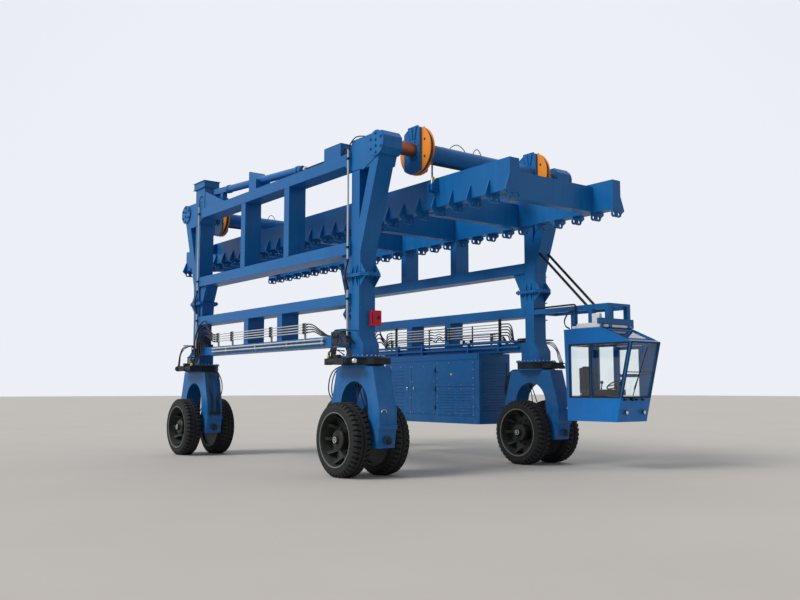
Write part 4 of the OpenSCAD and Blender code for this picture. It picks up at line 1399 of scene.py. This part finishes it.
    def dress_yokes(self) -> None:
        """Hoses and a lifting eye on each yoke, which turn with it."""
        for corner in self.shop.corners:
            hoses = Shape()
            for k, own in enumerate(self.DROP_Y):
                bulge = 0.04 * (k % 3)
                points = [(x - bulge * share, own * spread, z) for x, share, spread, z in self.YOKE_DROP]
                hoses.hose(corner.route(points), self.drop)
            for out, route in product((-1, 1), self.WHEEL_HOSES):
                hoses.hose([corner.at_leg(x, out * y, z) for x, y, z in route], self.inner)
            clamp = Shape().box(corner.at_leg(-0.855, -0.14, 1.02), corner.at_leg(-0.81, 0.16, 1.07))
            place = partial(self.shop.place, body=Body.STEERING, corner=corner)
            place(hoses, "yoke_hoses", Finish.HOSE)
            place(clamp, "yoke_clamps", Finish.HUB_BLACK, edge=0.003)
            place(self.yoke_eye(corner), "yoke_eye", Finish.ZINC)

    def dress(self) -> None:
        """Places the trim of the legs and the steering units."""
        self.dress_conduits()
        self.dress_units()
        self.dress_yokes()


@dataclass
class FrameHoses(Assembly):
    """Pipes, hoses and clamps along the side frames, the cross tubes and the heads of the legs.

    Args:
        side_y: Distance of the side pipes from the middle, across the machine.
        side_z: Height of the lowest of them.
        side_pitch: Distance between two of them.
        side_count: Number of them on a side.
        side_front: Radius of the hoses from them to the front units.
        side_rear: Radius of the hoses to the rear units.
        bay_y: Place of the pipes on the left frame's side of the load bay, across the machine.
        bay_z: Height of the lowest of them.
        bay_pitch: Distance between two of them.
        bay_count: Number of them.
        bay_pipe: Their radius.
        bay_hose: Radius of the hoses at their ends.
        rail_y: Place of the rails below them, across the machine.
        under_tube: How far below a cross tube's axis its two hoses run.
        strap: Radius of the straps around the cross tubes.
    """

    side_y: float = 2.665
    side_z: float = 2.81
    side_pitch: float = 0.055
    side_count: int = 4
    side_front: float = 0.013
    side_rear: float = 0.017
    bay_y: float = 2.165
    bay_z: float = 2.89
    bay_pitch: float = 0.066
    bay_count: int = 5
    bay_pipe: float = 0.012
    bay_hose: float = 0.014
    rail_y: float = 2.155
    under_tube: float = 0.196
    strap: float = 0.1805

    # The knots of the lowest hose from the side pipes to a front unit, and what each further one adds,
    # given for the front left corner
    SIDE_FRONT = (
        ((1.98, 2.665, 2.81), (0, 0, 0.055)), ((2.12, 2.665, 2.81), (0, 0, 0.055)),
        ((2.28, 2.65, 2.81), (0, 0, 0.04)), ((2.45, 2.6, 2.73), (0, 0, 0.03)),
        ((2.62, 2.57, 2.71), (0, -0.025, 0)), ((3.1, 2.57, 2.705), (0, -0.025, 0)),
        ((3.42, 2.57, 2.705), (0, -0.025, 0)),
    )
    # The same for a rear unit, with X towards the rear
    SIDE_REAR = (
        ((2.28, 2.665, 2.81), (0, 0, 0.055)), ((2.42, 2.665, 2.82), (0, 0, 0.055)),
        ((2.56, 2.67, 2.9), (0.03, 0, 0.08)), ((2.74, 2.69, 2.98), (0.03, 0, 0.12)),
        ((2.92, 2.68, 2.95), (0.05, 0.02, 0.09)), ((3.0, 2.7, 2.76), (0.07, 0.03, 0.03)),
        ((3.0, 2.72, 2.52), (0.06, 0.02, 0)), ((3.08, 2.77, 2.36), (0.05, 0, 0)),
        ((3.16, 2.84, 2.24), (0.06, 0, 0)),
    )
    SIDE_CLAMPS = (-2.15, -1.4, 0.48, 1.9)
    # Half of the length, width and height of a side clamp's two boxes
    CLAMP_BOXES = ((0.034, 0.03, 0.02), (0.018, 0.027, 0.03))
    # The knots of the lowest hoses at the front and rear ends of the pipes in the bay
    BAY_FRONT = (
        ((2.7, 2.165, 2.89), (0, 0, 0.066)), ((2.86, 2.165, 2.89), (0, 0, 0.066)),
        ((2.98, 2.155, 2.87), (0.014, 0, 0.066)), ((3.07, 2.145, 2.75), (0.014, 0, 0.066)),
        ((3.12, 2.145, 2.8), (0.012, 0, 0)), ((3.13, 2.185, 2.7), (0.012, 0, 0)),
    )
    BAY_REAR = (
        ((-1.48, 2.165, 2.89), (0, 0, 0.066)), ((-1.6, 2.165, 2.89), (0, 0, 0.066)),
        ((-1.72, 2.165, 2.83), (0, 0, 0.066)), ((-1.8, 2.165, 2.82), (0.02, 0, 0)),
        ((-1.82, 2.195, 2.7), (0.02, 0, 0)),
    )
    # Clamps in the bay: place along the machine, half of the length, near side, far side, top
    BAY_CLAMPS = (
        (-1.3, 0.03, 2.145, 2.19, 3.275), (2.7, 0.03, 2.145, 2.19, 3.275), (0.1, 0.012, 2.15, 2.18, 3.17),
        (0.9, 0.012, 2.15, 2.18, 3.17), (1.75, 0.012, 2.15, 2.18, 3.17),
    )
    TUBE_HOSES = (-1.42, -1.0, -0.4, 0.4, 1.0, 1.42)
    # Where a cable loop over a cross tube starts and ends
    TUBE_LOOPS = ((-0.78, -0.34), (-0.14, 0.1))
    # Hoses over a leg's head, from its axis
    FRONT_HEAD = (
        ((-0.175, 0.25, 6.33), (-0.12, 0.24, 6.46), (0.0, 0.2, 6.57), (0.16, 0.15, 6.57), (0.3, 0.1, 6.53)),
        ((-0.21, 0.25, 6.33), (-0.27, 0.23, 6.42), (-0.42, 0.18, 6.43), (-0.62, 0.12, 6.3)),
    )
    REAR_HEAD = (((-0.175, 0.25, 6.33), (-0.2, 0.26, 6.45), (-0.2, 0.24, 6.6), (-0.2, 0.18, 6.65)),)

    def dress_sides(self) -> None:
        """Clamps of the side pipes, and the hoses that lead from the pipes to the steering units."""
        hoses, clamps = Shape(), Shape()
        for corner in self.shop.corners:
            if corner.ahead > 0:
                hoses.fan(self.SIDE_FRONT, self.side_count, self.side_front, corner.place)
            else:
                hoses.fan(self.SIDE_REAR, self.side_count, self.side_rear, corner.place)
        for left, k, x in product((-1, 1), range(self.side_count), self.SIDE_CLAMPS):
            y, z = left * self.side_y, self.side_z + self.side_pitch * k
            for along, across, up in self.CLAMP_BOXES:
                clamps.box((x - along, y - across, z - up), (x + along, y + across, z + up))
        self.shop.place(hoses, "side_hoses", Finish.HOSE)
        self.shop.place(clamps, "side_clamps", Finish.HUB_BLACK, edge=0.003)

    def bay_loop(self, k: int) -> list[Point]:
        """The loose loop in the middle of one of the bay's pipes.

        Args:
            k: Number of the pipe, from the lowest.

        Returns:
            The points of the loop.
        """
        y, z = self.bay_y, self.bay_z + self.bay_pitch * k
        return [
            (0.14, y, z), (0.22, y - 0.01, z),
            (0.36, y - 0.02 * (k % 2), z - 0.05 + 0.012 * k),
            (0.5, y - 0.015 * k, z + 0.03 - 0.01 * k),
            (0.66, y - 0.01, z - 0.04 + 0.01 * k),
            (0.74, y, z), (0.82, y, z),
        ]

    def dress_bay(self) -> None:
        """Pipes, rails and hoses on the left frame's side of the load bay."""
        pipes, rails, hoses, clamps = (Shape() for _ in range(4))
        for k in range(self.bay_count):
            z = self.bay_z + self.bay_pitch * k
            for x0, x1 in ((-1.5, 0.15), (0.8, 2.72)):
                pipes.tube([(x0, self.bay_y, z), (x1, self.bay_y, z)], self.bay_pipe)
            hoses.hose(self.bay_loop(k), self.bay_pipe)
        for knots in (self.BAY_FRONT, self.BAY_REAR):
            hoses.fan(knots, self.bay_count, self.bay_hose)
        for z in (2.6, 2.73):
            rails.tube([(-2.3, self.rail_y, z), (3.32, self.rail_y, z)], 0.03, 14)
        for x in (-1.2, -0.15, 1.62, 2.68):
            rails.box((x - 0.025, 2.115, 2.53), (x + 0.025, 2.2, 2.79))
        for x, half, near, far, top in self.BAY_CLAMPS:
            clamps.box((x - half, near, 2.69), (x + half, far, top))
        self.shop.place(rails, "bay_rails", Finish.FRAME_PAINT, edge=0.003)
        self.shop.place(pipes, "bay_pipes", Finish.CONDUIT)
        self.shop.place(hoses, "bay_hoses", Finish.HOSE)
        self.shop.place(clamps, "bay_clamps", Finish.DARK_STEEL, edge=0.003)

    def cable_loop(self, x: float, start: float, end: float) -> list[Point]:
        """A cable that rises from a cross tube and comes back to it.

        Args:
            x: Place of the tube along the machine.
            start: Where the cable leaves it.
            end: Where it comes back.

        Returns:
            The points of the loop.
        """
        points, foot, steps = [], self.shop.layout.tube_z + 0.17, 16
        for k in range(steps + 1):
            rise = 0.13 * math.sin(math.pi * k / steps) ** 0.8
            points.append((x, start + (end - start) * k / steps, foot + rise))
        return points

    def dress_tubes(self) -> None:
        """Straps around the cross tubes, hoses under them and cable loops over them."""
        z, band = self.shop.layout.tube_z, 0.012
        inner, outer = self.strap, self.strap + 0.0035
        hoop = [(-band, inner), (band, inner), (band, outer), (-band, outer)]
        for name, ahead in (("front", 1), ("rear", -1)):
            hoses, straps = Shape(), Shape()
            x = ahead * self.shop.layout.tube_x
            for aside in (-0.03, 0.03):
                hoses.hose([(x + aside, y, z - self.under_tube) for y in self.TUBE_HOSES], 0.015)
            for y in (-1.0, 0.0, 1.0):
                straps.lathe(hoop, (x, y, z), (0, 1, 0), 48, loop=True)
            for start, end in self.TUBE_LOOPS:
                hoses.tube(self.cable_loop(x, start, end), 0.009, 8)
            self.shop.place(hoses, f"{name}_tube_hoses", Finish.HOSE)
            self.shop.place(straps, f"{name}_tube_straps", Finish.FRAME_PAINT)

    def dress_heads(self) -> None:
        """Hoses over the heads of the legs."""
        for corner in self.shop.corners:
            hoses = Shape()
            for points in self.FRONT_HEAD if corner.ahead > 0 else self.REAR_HEAD:
                hoses.hose(corner.route(points), 0.012)
            self.shop.place(hoses, "head_hoses", Finish.HOSE, corner=corner)

    def dress(self) -> None:
        """Places all of its pieces."""
        self.dress_sides()
        self.dress_bay()
        self.dress_tubes()
        self.dress_heads()


@dataclass
class Cab(Assembly):
    """Seals, wiper, lamps, handles and the fittings inside the cab.

    Args:
        x: The rear end of the cab's floor.
        floor_z: The height of its floor's underside.
        inner: The cab's side next to the load bay.
        outer: The cab's outer side.
        sill: Lower edge of the windows.
        head: Upper edge of the windows.
        depth: Length of the floor.
        front_slope: How far the front wall leans forward, for each metre up.
        rear_slope: How far the rear wall leans back, for each metre up.
        roof_x: Where the roof's slope starts, from the rear end of the floor.
        roof_z: The height of the roof behind it.
        roof_slope: How far it falls for each metre ahead.
        post: Width of the posts beside the front pane.
        seal_width: Width of the window seals.
        seal_thick: Their thickness.
    """

    x: float = 4.85
    floor_z: float = 0.985
    inner: float = 2.05
    outer: float = 3.01
    sill: float = 1.5
    head: float = 2.56
    depth: float = 1.28
    front_slope: float = 0.4 / 1.615
    rear_slope: float = 0.07 / 1.925
    roof_x: float = 0.97
    roof_z: float = 2.91
    roof_slope: float = 0.31 / 0.71
    post: float = 0.05
    seal_width: float = 0.032
    seal_thick: float = 0.008

    # The roof's casing as boxes
    CASING = (
        ((5.12, 2.065, 2.912), (5.74, 2.19, 3.02)), ((4.96, 2.09, 2.912), (5.13, 2.17, 2.975)),
        ((5.53, 2.07, 3.01), (5.73, 2.17, 3.21)), ((5.8, 2.1, 2.912), (5.87, 2.95, 2.975)),
    )
    # The hose along the cab's support, and the first of the three down to its roof
    SUPPORT_HOSE = (
        (3.77, 2.25, 3.45), (4.4, 2.25, 3.455), (4.85, 2.24, 3.455), (4.98, 2.2, 3.43), (5.0, 2.17, 3.36),
        (5.0, 2.17, 3.3),
    )
    ROOF_HOSE = (
        (4.99, 2.17, 3.33), (4.86, 2.13, 3.27), (4.76, 2.11, 3.12), (4.78, 2.11, 2.99),
        (4.87, 2.14, 2.925),
    )
    DOOR_GRIP = ((6.08, 3.005, 1.62), (6.08, 3.03, 1.66), (6.08, 3.03, 1.95), (6.08, 3.005, 2.0))
    # Turned forms of a lamp and of a lever's knob: distance along the axis, radius
    BEZEL = ((-0.02, 0.052), (0.008, 0.052), (0.008, 0.04), (-0.02, 0.046))
    LENS = ((0.0, 0.041), (0.01, 0.038), (0.018, 0.024), (0.021, 0.006))
    KNOB = ((0.0, 0.014), (0.012, 0.03), (0.045, 0.034), (0.065, 0.02))
    # The seat's back: how far it leans back at a height
    SEAT_BACK = ((0.0, 1.55), (0.0, 1.8), (0.005, 2.1))

    def front(self, z: float) -> float:
        """Where the sloping front wall is at a height."""
        return self.x + self.depth + self.front_slope * (z - self.floor_z)

    def rear(self, z: float) -> float:
        """Where the leaning rear wall is at a height."""
        return self.x - self.rear_slope * (z - self.floor_z)

    def roof(self, x: float) -> float:
        """The height of the sloping part of the roof at a place."""
        return self.roof_z - self.roof_slope * (x - self.x - self.roof_x)

    def side_seal(self, shape: Shape, y: float, outline: Sequence[tuple[float, float]]) -> None:
        """Adds the seal of a pane in the cab's side at y, facing outwards."""
        thick = math.copysign(self.seal_thick, y - (self.inner + self.outer) / 2)
        shape.border([(x, y, z) for x, z in outline], (0, thick, 0), self.seal_width)

    def dress_seals(self) -> None:
        """Black rubber around every pane."""
        seals, door = Shape(), Shape()
        low, high, x = self.sill, self.head, self.x
        near, far = self.inner + self.post, self.outer - self.post
        self.side_seal(seals, self.inner, rectangle((x + 0.09, low), (x + 0.6, high)))
        ends = [(self.front(z) - 0.06, z) for z in (low, high)]
        self.side_seal(seals, self.inner, [(x + 0.68, low), *ends, (x + 0.68, high)])
        self.side_seal(seals, self.outer, rectangle((x + 0.09, low), (x + 0.5, high)))
        pane = [(self.front(z), y, z) for y, z in rectangle((near, low), (far, 2.57))]
        seals.border(pane, Vector((1, 0, -self.front_slope)).normalized() * 0.009, 0.034)
        pane = [(self.rear(z), y, z) for y, z in rectangle((near + 0.04, low), (far - 0.04, high))]
        seals.border(pane, (-self.seal_thick, 0, 0), self.seal_width)
        pane = [(a, y, self.roof(a)) for a, y in rectangle((x + 1.03, near), (x + 1.545, far))]
        seals.border(pane, Vector((self.roof_slope, 0, 1)).normalized() * self.seal_thick, 0.03)
        for z0, z1 in ((1.185, 1.9), (1.96, 2.48)):
            pane = [(a, self.outer, z) for a, z in rectangle((x + 0.64, z0), (x + 1.15, z1))]
            door.border(pane, (0, 0.006, 0), 0.025)
        self.shop.place(seals, "window_seals", Finish.SEAL, edge=0.002)
        self.shop.place(door, "door_seals", Finish.SEAL, Body.CAB_DOOR, edge=0.002)

    def wiper(self) -> Shape:
        """The wiper on the front pane.

        Returns:
            Its shape.
        """
        pivot, elbow = (self.front(1.44) + 0.035, 2.36, 1.44), (self.front(2.02) + 0.04, 2.46, 2.02)
        foot, tip = (self.front(1.64) + 0.03, 2.37, 1.64), (self.front(2.49) + 0.03, 2.57, 2.49)
        wiper = Shape().tube([pivot, elbow], 0.009, 8)
        wiper.tube([foot, elbow, tip], 0.008, 6)
        return wiper.lathe([(-0.03, 0.03), (0.03, 0.03), (0.04, 0.02)], pivot, (1, 0, -0.25), 16)

    def dress_outside(self) -> None:
        """Wiper, lamps, handle, brackets, the roof's casing and the hoses to it."""
        lens, bezels, brackets, hoses, casing = (Shape() for _ in range(5))
        for y in (self.inner + 0.2, self.outer - 0.2):
            face = (self.front(1.22) + 0.045, y, 1.175)
            bezels.lathe(self.BEZEL, face, (1, 0, 0), 32, loop=True)
            lens.lathe(self.LENS, face, (1, 0, 0), 28)
        top = 1.45
        for y in (self.inner + 0.09, 2.5, self.outer - 0.31):
            low, high = (self.front(top) - 0.01, y, top - 0.035), (self.front(top) + 0.04, y + 0.06, top)
            brackets.box(low, high)
        grip = Shape().tube(smooth_path(self.DOOR_GRIP, 4), 0.011)
        hoses.tube(smooth_path(self.SUPPORT_HOSE), 0.02)
        for k in range(3):
            points = [(x - 0.03 * k, y + 0.03 * k, z + 0.01 * k) for x, y, z in self.ROOF_HOSE]
            hoses.tube(smooth_path(points), 0.012, 8)
        for low, high in self.CASING:
            casing.box(low, high)
        self.shop.place(casing, "roof_casing", Finish.PANEL_WHITE, edge=0.018)
        self.shop.place(self.wiper(), "wiper", Finish.HUB_BLACK)
        self.shop.place(bezels, "lamp_bezels", Finish.HUB_BLACK)
        self.shop.place(lens, "lamp_lenses", Finish.LENS)
        self.shop.place(brackets, "sill_brackets", Finish.HUB_BLACK, edge=0.004)
        self.shop.place(grip, "door_grip", Finish.HUB_BLACK, Body.CAB_DOOR)
        self.shop.place(hoses, "cab_hoses", Finish.HOSE)

    def seat(self) -> Shape:
        """The seat's cushions.

        Returns:
            Their shape.
        """
        x, near, far = self.x + 0.1, 2.31, 2.73
        cushions = Shape().box((x, 2.3, 1.42), (x + 0.5, 2.74, 1.54))
        back = []
        for lean, z in self.SEAT_BACK:
            back.append([(x + a - lean, y, z) for a, y in rectangle((0.0, near), (0.11, far))])
        cushions.skin(back)
        return cushions.box((x, 2.4, 1.98), (x + 0.09, 2.64, 2.13))

    def dress_inside(self) -> None:
        """Seat cushions, armrest consoles, steering column and dashboard."""
        x, shell, knobs, rails = self.x, Shape(), Shape(), Shape()
        shell.box((x + 0.16, 2.32, 1.03), (x + 0.5, 2.72, 1.4))
        for y in (2.15, 2.78):
            shell.box((x + 0.3, y, 1.52), (x + 0.86, y + 0.12, 1.64))
            shell.box((x + 0.4, y + 0.02, 1.03), (x + 0.6, y + 0.1, 1.53))
            knobs.tube([(x + 0.78, y + 0.06, 1.63), (x + 0.8, y + 0.06, 1.76)], 0.012)
            knobs.lathe(self.KNOB, (x + 0.8, y + 0.06, 1.75), (0, 0, 1), 20)
        dashboard = ((1.02, 1.03), (1.2, 1.03), (1.3, 1.4), (1.06, 1.48))
        shell.slab([(x + along, 2.16, z) for along, z in dashboard], (0, 0.7, 0))
        knobs.tube([(x + 1.08, 2.52, 1.4), (x + 0.9, 2.52, 1.72)], 0.025)
        knobs.ring((x + 0.89, 2.52, 1.74), (-0.5, 0, 0.86), 0.18, 0.014)
        knobs.tube([(x + 0.82, 2.36, 1.7), (x + 0.96, 2.68, 1.78)], 0.01)
        for z in (1.94, 1.99):
            rails.tube([(self.front(z) - 0.06, y, z) for y in (2.1, 2.96)], 0.011)
        seat = self.shop.place(
            self.seat(), "seat_cushions", Finish.SEAT_PLASTIC, edge=0.03, replaces=["cab_seat"]
        )
        seat.modifiers["edges"].segments = 4
        self.shop.place(shell, "cab_consoles", Finish.PANEL_GREY, edge=0.012)
        self.shop.place(knobs, "cab_controls", Finish.SEAL)
        self.shop.place(rails, "front_rails", Finish.HUB_BLACK)

    def dress(self) -> None:
        """Places everything in and on the cab."""
        self.dress_seals()
        self.dress_outside()
        self.dress_inside()


@dataclass
class SideTrim(Assembly):
    """Handles, hinges and bolts of the power cabinet, and small things on the legs.

    Args:
        face: Place of the cabinet's doors, across the machine.
        inset: Distance of the panels' bolts from the panels' edges.
        bolt_size: Width of their heads.
        bolt_pitch: About how far they are apart.
    """

    face: float = 1.828
    inset: float = 0.035
    bolt_size: float = 0.022
    bolt_pitch: float = 0.45

    # Panels of the cabinet: rear end, front end, bottom, top
    PANELS = (
        (-1.1, -0.215, 1.03, 2.25), (-0.205, 0.73, 1.03, 2.25), (0.79, 2.18, 1.71, 2.31),
        (0.79, 2.18, 1.01, 1.69),
    )
    RUNGS = (2.74, 3.21, 3.6, 4.2, 4.65, 5.1, 5.55)

    def add_panel_bolts(self, shape: Shape, ends: tuple[float, float], heights: tuple[float, float]) -> None:
        """Adds the bolts around one panel of the cabinet.

        Args:
            shape: The shape that they are added to.
            ends: The panel's rear and front ends.
            heights: Its lower and upper edges.
        """
        (x0, x1), (z0, z1) = ends, heights
        count = max(2, round((x1 - x0) / self.bolt_pitch) + 1)
        along = [x0 + self.inset + (x1 - x0 - 2 * self.inset) * k / (count - 1) for k in range(count)]
        places = list(product(along, (z0 + self.inset, z1 - self.inset)))
        thirds = (z0 + (z1 - z0) / 3, z0 + (z1 - z0) * 2 / 3)
        places += product((x0 + self.inset, x1 - self.inset), thirds)
        for x, z in places:
            shape.bolt((x, self.face, z), (0, -1, 0), self.bolt_size)

    def dress_cabinet(self) -> None:
        """Door handles, hinges, panel bolts and a bare plate."""
        bolts, handles, hinges = Shape(), Shape(), Shape()
        for x0, x1, z0, z1 in self.PANELS:
            self.add_panel_bolts(bolts, (x0, x1), (z0, z1))
        near, far = self.face + 0.002, self.face - 0.035
        for x in (-0.349, -0.084):
            grip = [(x, near, 1.61), (x, far, 1.62), (x, far, 1.69), (x, near, 1.7)]
            handles.tube(smooth_path(grip, 4), 0.009)
        for x, z in product((-1.105, 0.735), (1.2, 1.65, 2.1)):
            hinges.lathe([(-0.05, 0.014), (0.05, 0.014)], (x, self.face - 0.008, z), (0, 0, 1), 12)
        plate = Shape().box((1.31, self.face - 0.003, 1.98), (1.37, self.face, 2.03))
        self.shop.place(bolts, "panel_bolts", Finish.ZINC)
        self.shop.place(handles, "cabinet_handles", Finish.LAMP_CHROME)
        self.shop.place(hinges, "cabinet_hinges", Finish.HUB_BLACK)
        self.shop.place(plate, "bare_plate", Finish.PLATE_YELLOW)

    def dress_rungs(self) -> None:
        """Steps up the outer side of the front left leg."""
        rungs = Shape()
        for z in self.RUNGS:
            rungs.tube([(3.56, 2.578, z), (3.56, 2.66, z), (3.74, 2.66, z), (3.74, 2.578, z)], 0.011, 8)
        self.shop.place(rungs, "leg_rungs", Finish.FRAME_PAINT)

    def dress_lamps(self) -> None:
        """Small work lamps inside the left frame, the tag on a rope's end and the latch of the red box."""
        bodies, faces = Shape(), Shape()
        for x in (1.4, 1.66):
            bodies.box((x - 0.05, 2.12, 2.74), (x + 0.05, 2.2, 2.84))
            faces.box((x - 0.042, 2.113, 2.748), (x + 0.042, 2.121, 2.832))
        tag = Shape().box((4.86, -1.66, 5.6), (4.864, -1.6, 5.69))
        tag.tube([(4.862, -1.63, 5.6), (4.85, -1.62, 5.56)], 0.004, 6)
        latch = Shape().box((3.852, -2.2, 2.99), (3.868, -2.16, 3.05))
        latch.lathe([(-0.1, 0.01), (0.1, 0.01)], (3.862, -2.333, 3.01), (0, 0, 1), 12)
        self.shop.place(tag, "rope_tag", Finish.PLATE_YELLOW, Body.SPREADER)
        self.shop.place(bodies, "work_lamps", Finish.HUB_BLACK, edge=0.006)
        self.shop.place(faces, "work_lamp_faces", Finish.LENS)
        self.shop.place(latch, "box_latch", Finish.HUB_BLACK)

    def dress(self) -> None:
        """Places everything that this class makes."""
        self.dress_cabinet()
        self.dress_rungs()
        self.dress_lamps()


@dataclass
class Studio:
    """The floor, the soft light and the camera.

    Args:
        eye: Place of the camera.
        yaw: Direction of view over the ground, in degrees from X towards Y.
        pitch: Angle of view above the horizon, in degrees.
        focal: Focal length for a 36 mm wide sensor, in millimetres.
        floor_size: Length of the floor's sides.
        sky: Brightness of the sky behind the camera and behind the machine.
        sky_colour: The sky's colour.
        sky_side: The direction towards the sky's bright side.
        sun: Strength of the lamp.
        sun_spread: Its width as an angle in degrees, which softens the shadows.
        sun_colour: Its colour.
        sun_ahead: The direction in which it shines.
    """

    eye: Point = (17.468, -12.08, 1.638)
    yaw: float = 142.566
    pitch: float = 5.855
    focal: float = 39.28
    floor_size: float = 400.0
    sky: tuple[float, float] = (0.4, 1.05)
    sky_colour: Colour = (0.80, 0.83, 0.88)
    sky_side: Point = (-0.79, 0.61, 0.0)
    sun: float = 2.4
    sun_spread: float = 25.0
    sun_colour: Colour = (1.0, 0.97, 0.93)
    sun_ahead: Point = (0.12, 0.8, -0.72)

    def make_camera(self) -> None:
        """Sets the camera at the place of the photograph's."""
        data = bpy.data.cameras.new("camera")
        data.sensor_width = 36.0
        data.lens = self.focal
        data.clip_end = 500.0
        camera = bpy.data.objects.new("camera", data)
        yaw, pitch = math.radians(self.yaw), math.radians(self.pitch)
        ahead = Vector((math.cos(yaw) * math.cos(pitch), math.sin(yaw) * math.cos(pitch), math.sin(pitch)))
        camera.location = self.eye
        camera.rotation_mode = "QUATERNION"
        camera.rotation_quaternion = ahead.to_track_quat("-Z", "Y")
        bpy.context.scene.collection.objects.link(camera)
        bpy.context.scene.camera = camera

    def make_floor(self) -> None:
        """Lays the plain pale floor."""
        mesh = bpy.data.meshes.new("floor")
        half = self.floor_size / 2
        corners = [(x, y, 0) for x, y in rectangle((-half, -half), (half, half))]
        mesh.from_pydata(corners, [], [(0, 1, 2, 3)])
        floor = bpy.data.objects.new("floor", mesh)
        graph = Graph("pale_floor")
        clouds = graph.noise(graph.place(), 0.25, 5.0)
        mesh.materials.append(
            graph.surface(
                Base_Color=graph.blend((0.42, 0.395, 0.36), (0.48, 0.455, 0.42), clouds),
                Roughness=0.85,
                Normal=graph.bump(graph.noise(graph.place(), 8.0, 6.0), 0.1, 0.004),
            )
        )
        bpy.context.scene.collection.objects.link(floor)

    def make_light(self) -> None:
        """Lights the scene with a sky that is brighter at the back and one large soft lamp."""
        world = bpy.data.worlds.new("sky")
        world.use_nodes = True
        nodes, links = world.node_tree.nodes, world.node_tree.links
        background = nodes["Background"]
        background.inputs["Color"].default_value = (*self.sky_colour, 1.0)
        towards = nodes.new("ShaderNodeVectorMath")
        towards.operation = "DOT_PRODUCT"
        towards.inputs[1].default_value = self.sky_side
        bright = nodes.new("ShaderNodeMapRange")
        for socket, value in zip(("From Min", "From Max", "To Min", "To Max"), (-1.0, 0.9, *self.sky)):
            bright.inputs[socket].default_value = value
        links.new(nodes.new("ShaderNodeTexCoord").outputs["Generated"], towards.inputs[0])
        links.new(towards.outputs["Value"], bright.inputs["Value"])
        links.new(bright.outputs["Result"], background.inputs["Strength"])
        bpy.context.scene.world = world
        sun = bpy.data.lights.new("soft_sun", "SUN")
        sun.energy = self.sun
        sun.angle = math.radians(self.sun_spread)
        sun.color = self.sun_colour
        lamp = bpy.data.objects.new("soft_sun", sun)
        lamp.rotation_mode = "QUATERNION"
        lamp.rotation_quaternion = Vector(self.sun_ahead).to_track_quat("-Z", "Y")
        bpy.context.scene.collection.objects.link(lamp)
        bpy.context.scene.view_settings.view_transform = "Standard"


def main() -> None:
    """Builds the scene in order."""
    logging.basicConfig(level=logging.INFO, format="%(message)s")
    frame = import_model()
    finisher = Finisher(frame)
    finisher.dress_nodes()
    shop = Workshop(finisher, Layout.read(frame["nodes"]))
    for kind in (Wheels, Rigging, Fasteners, UnitTrim, FrameHoses, Cab, SideTrim):
        kind(shop).dress()
        log.info("dressed %s", kind.__name__)
    studio = Studio()
    studio.make_camera()
    studio.make_floor()
    studio.make_light()


if __name__ == "__main__":
    main()
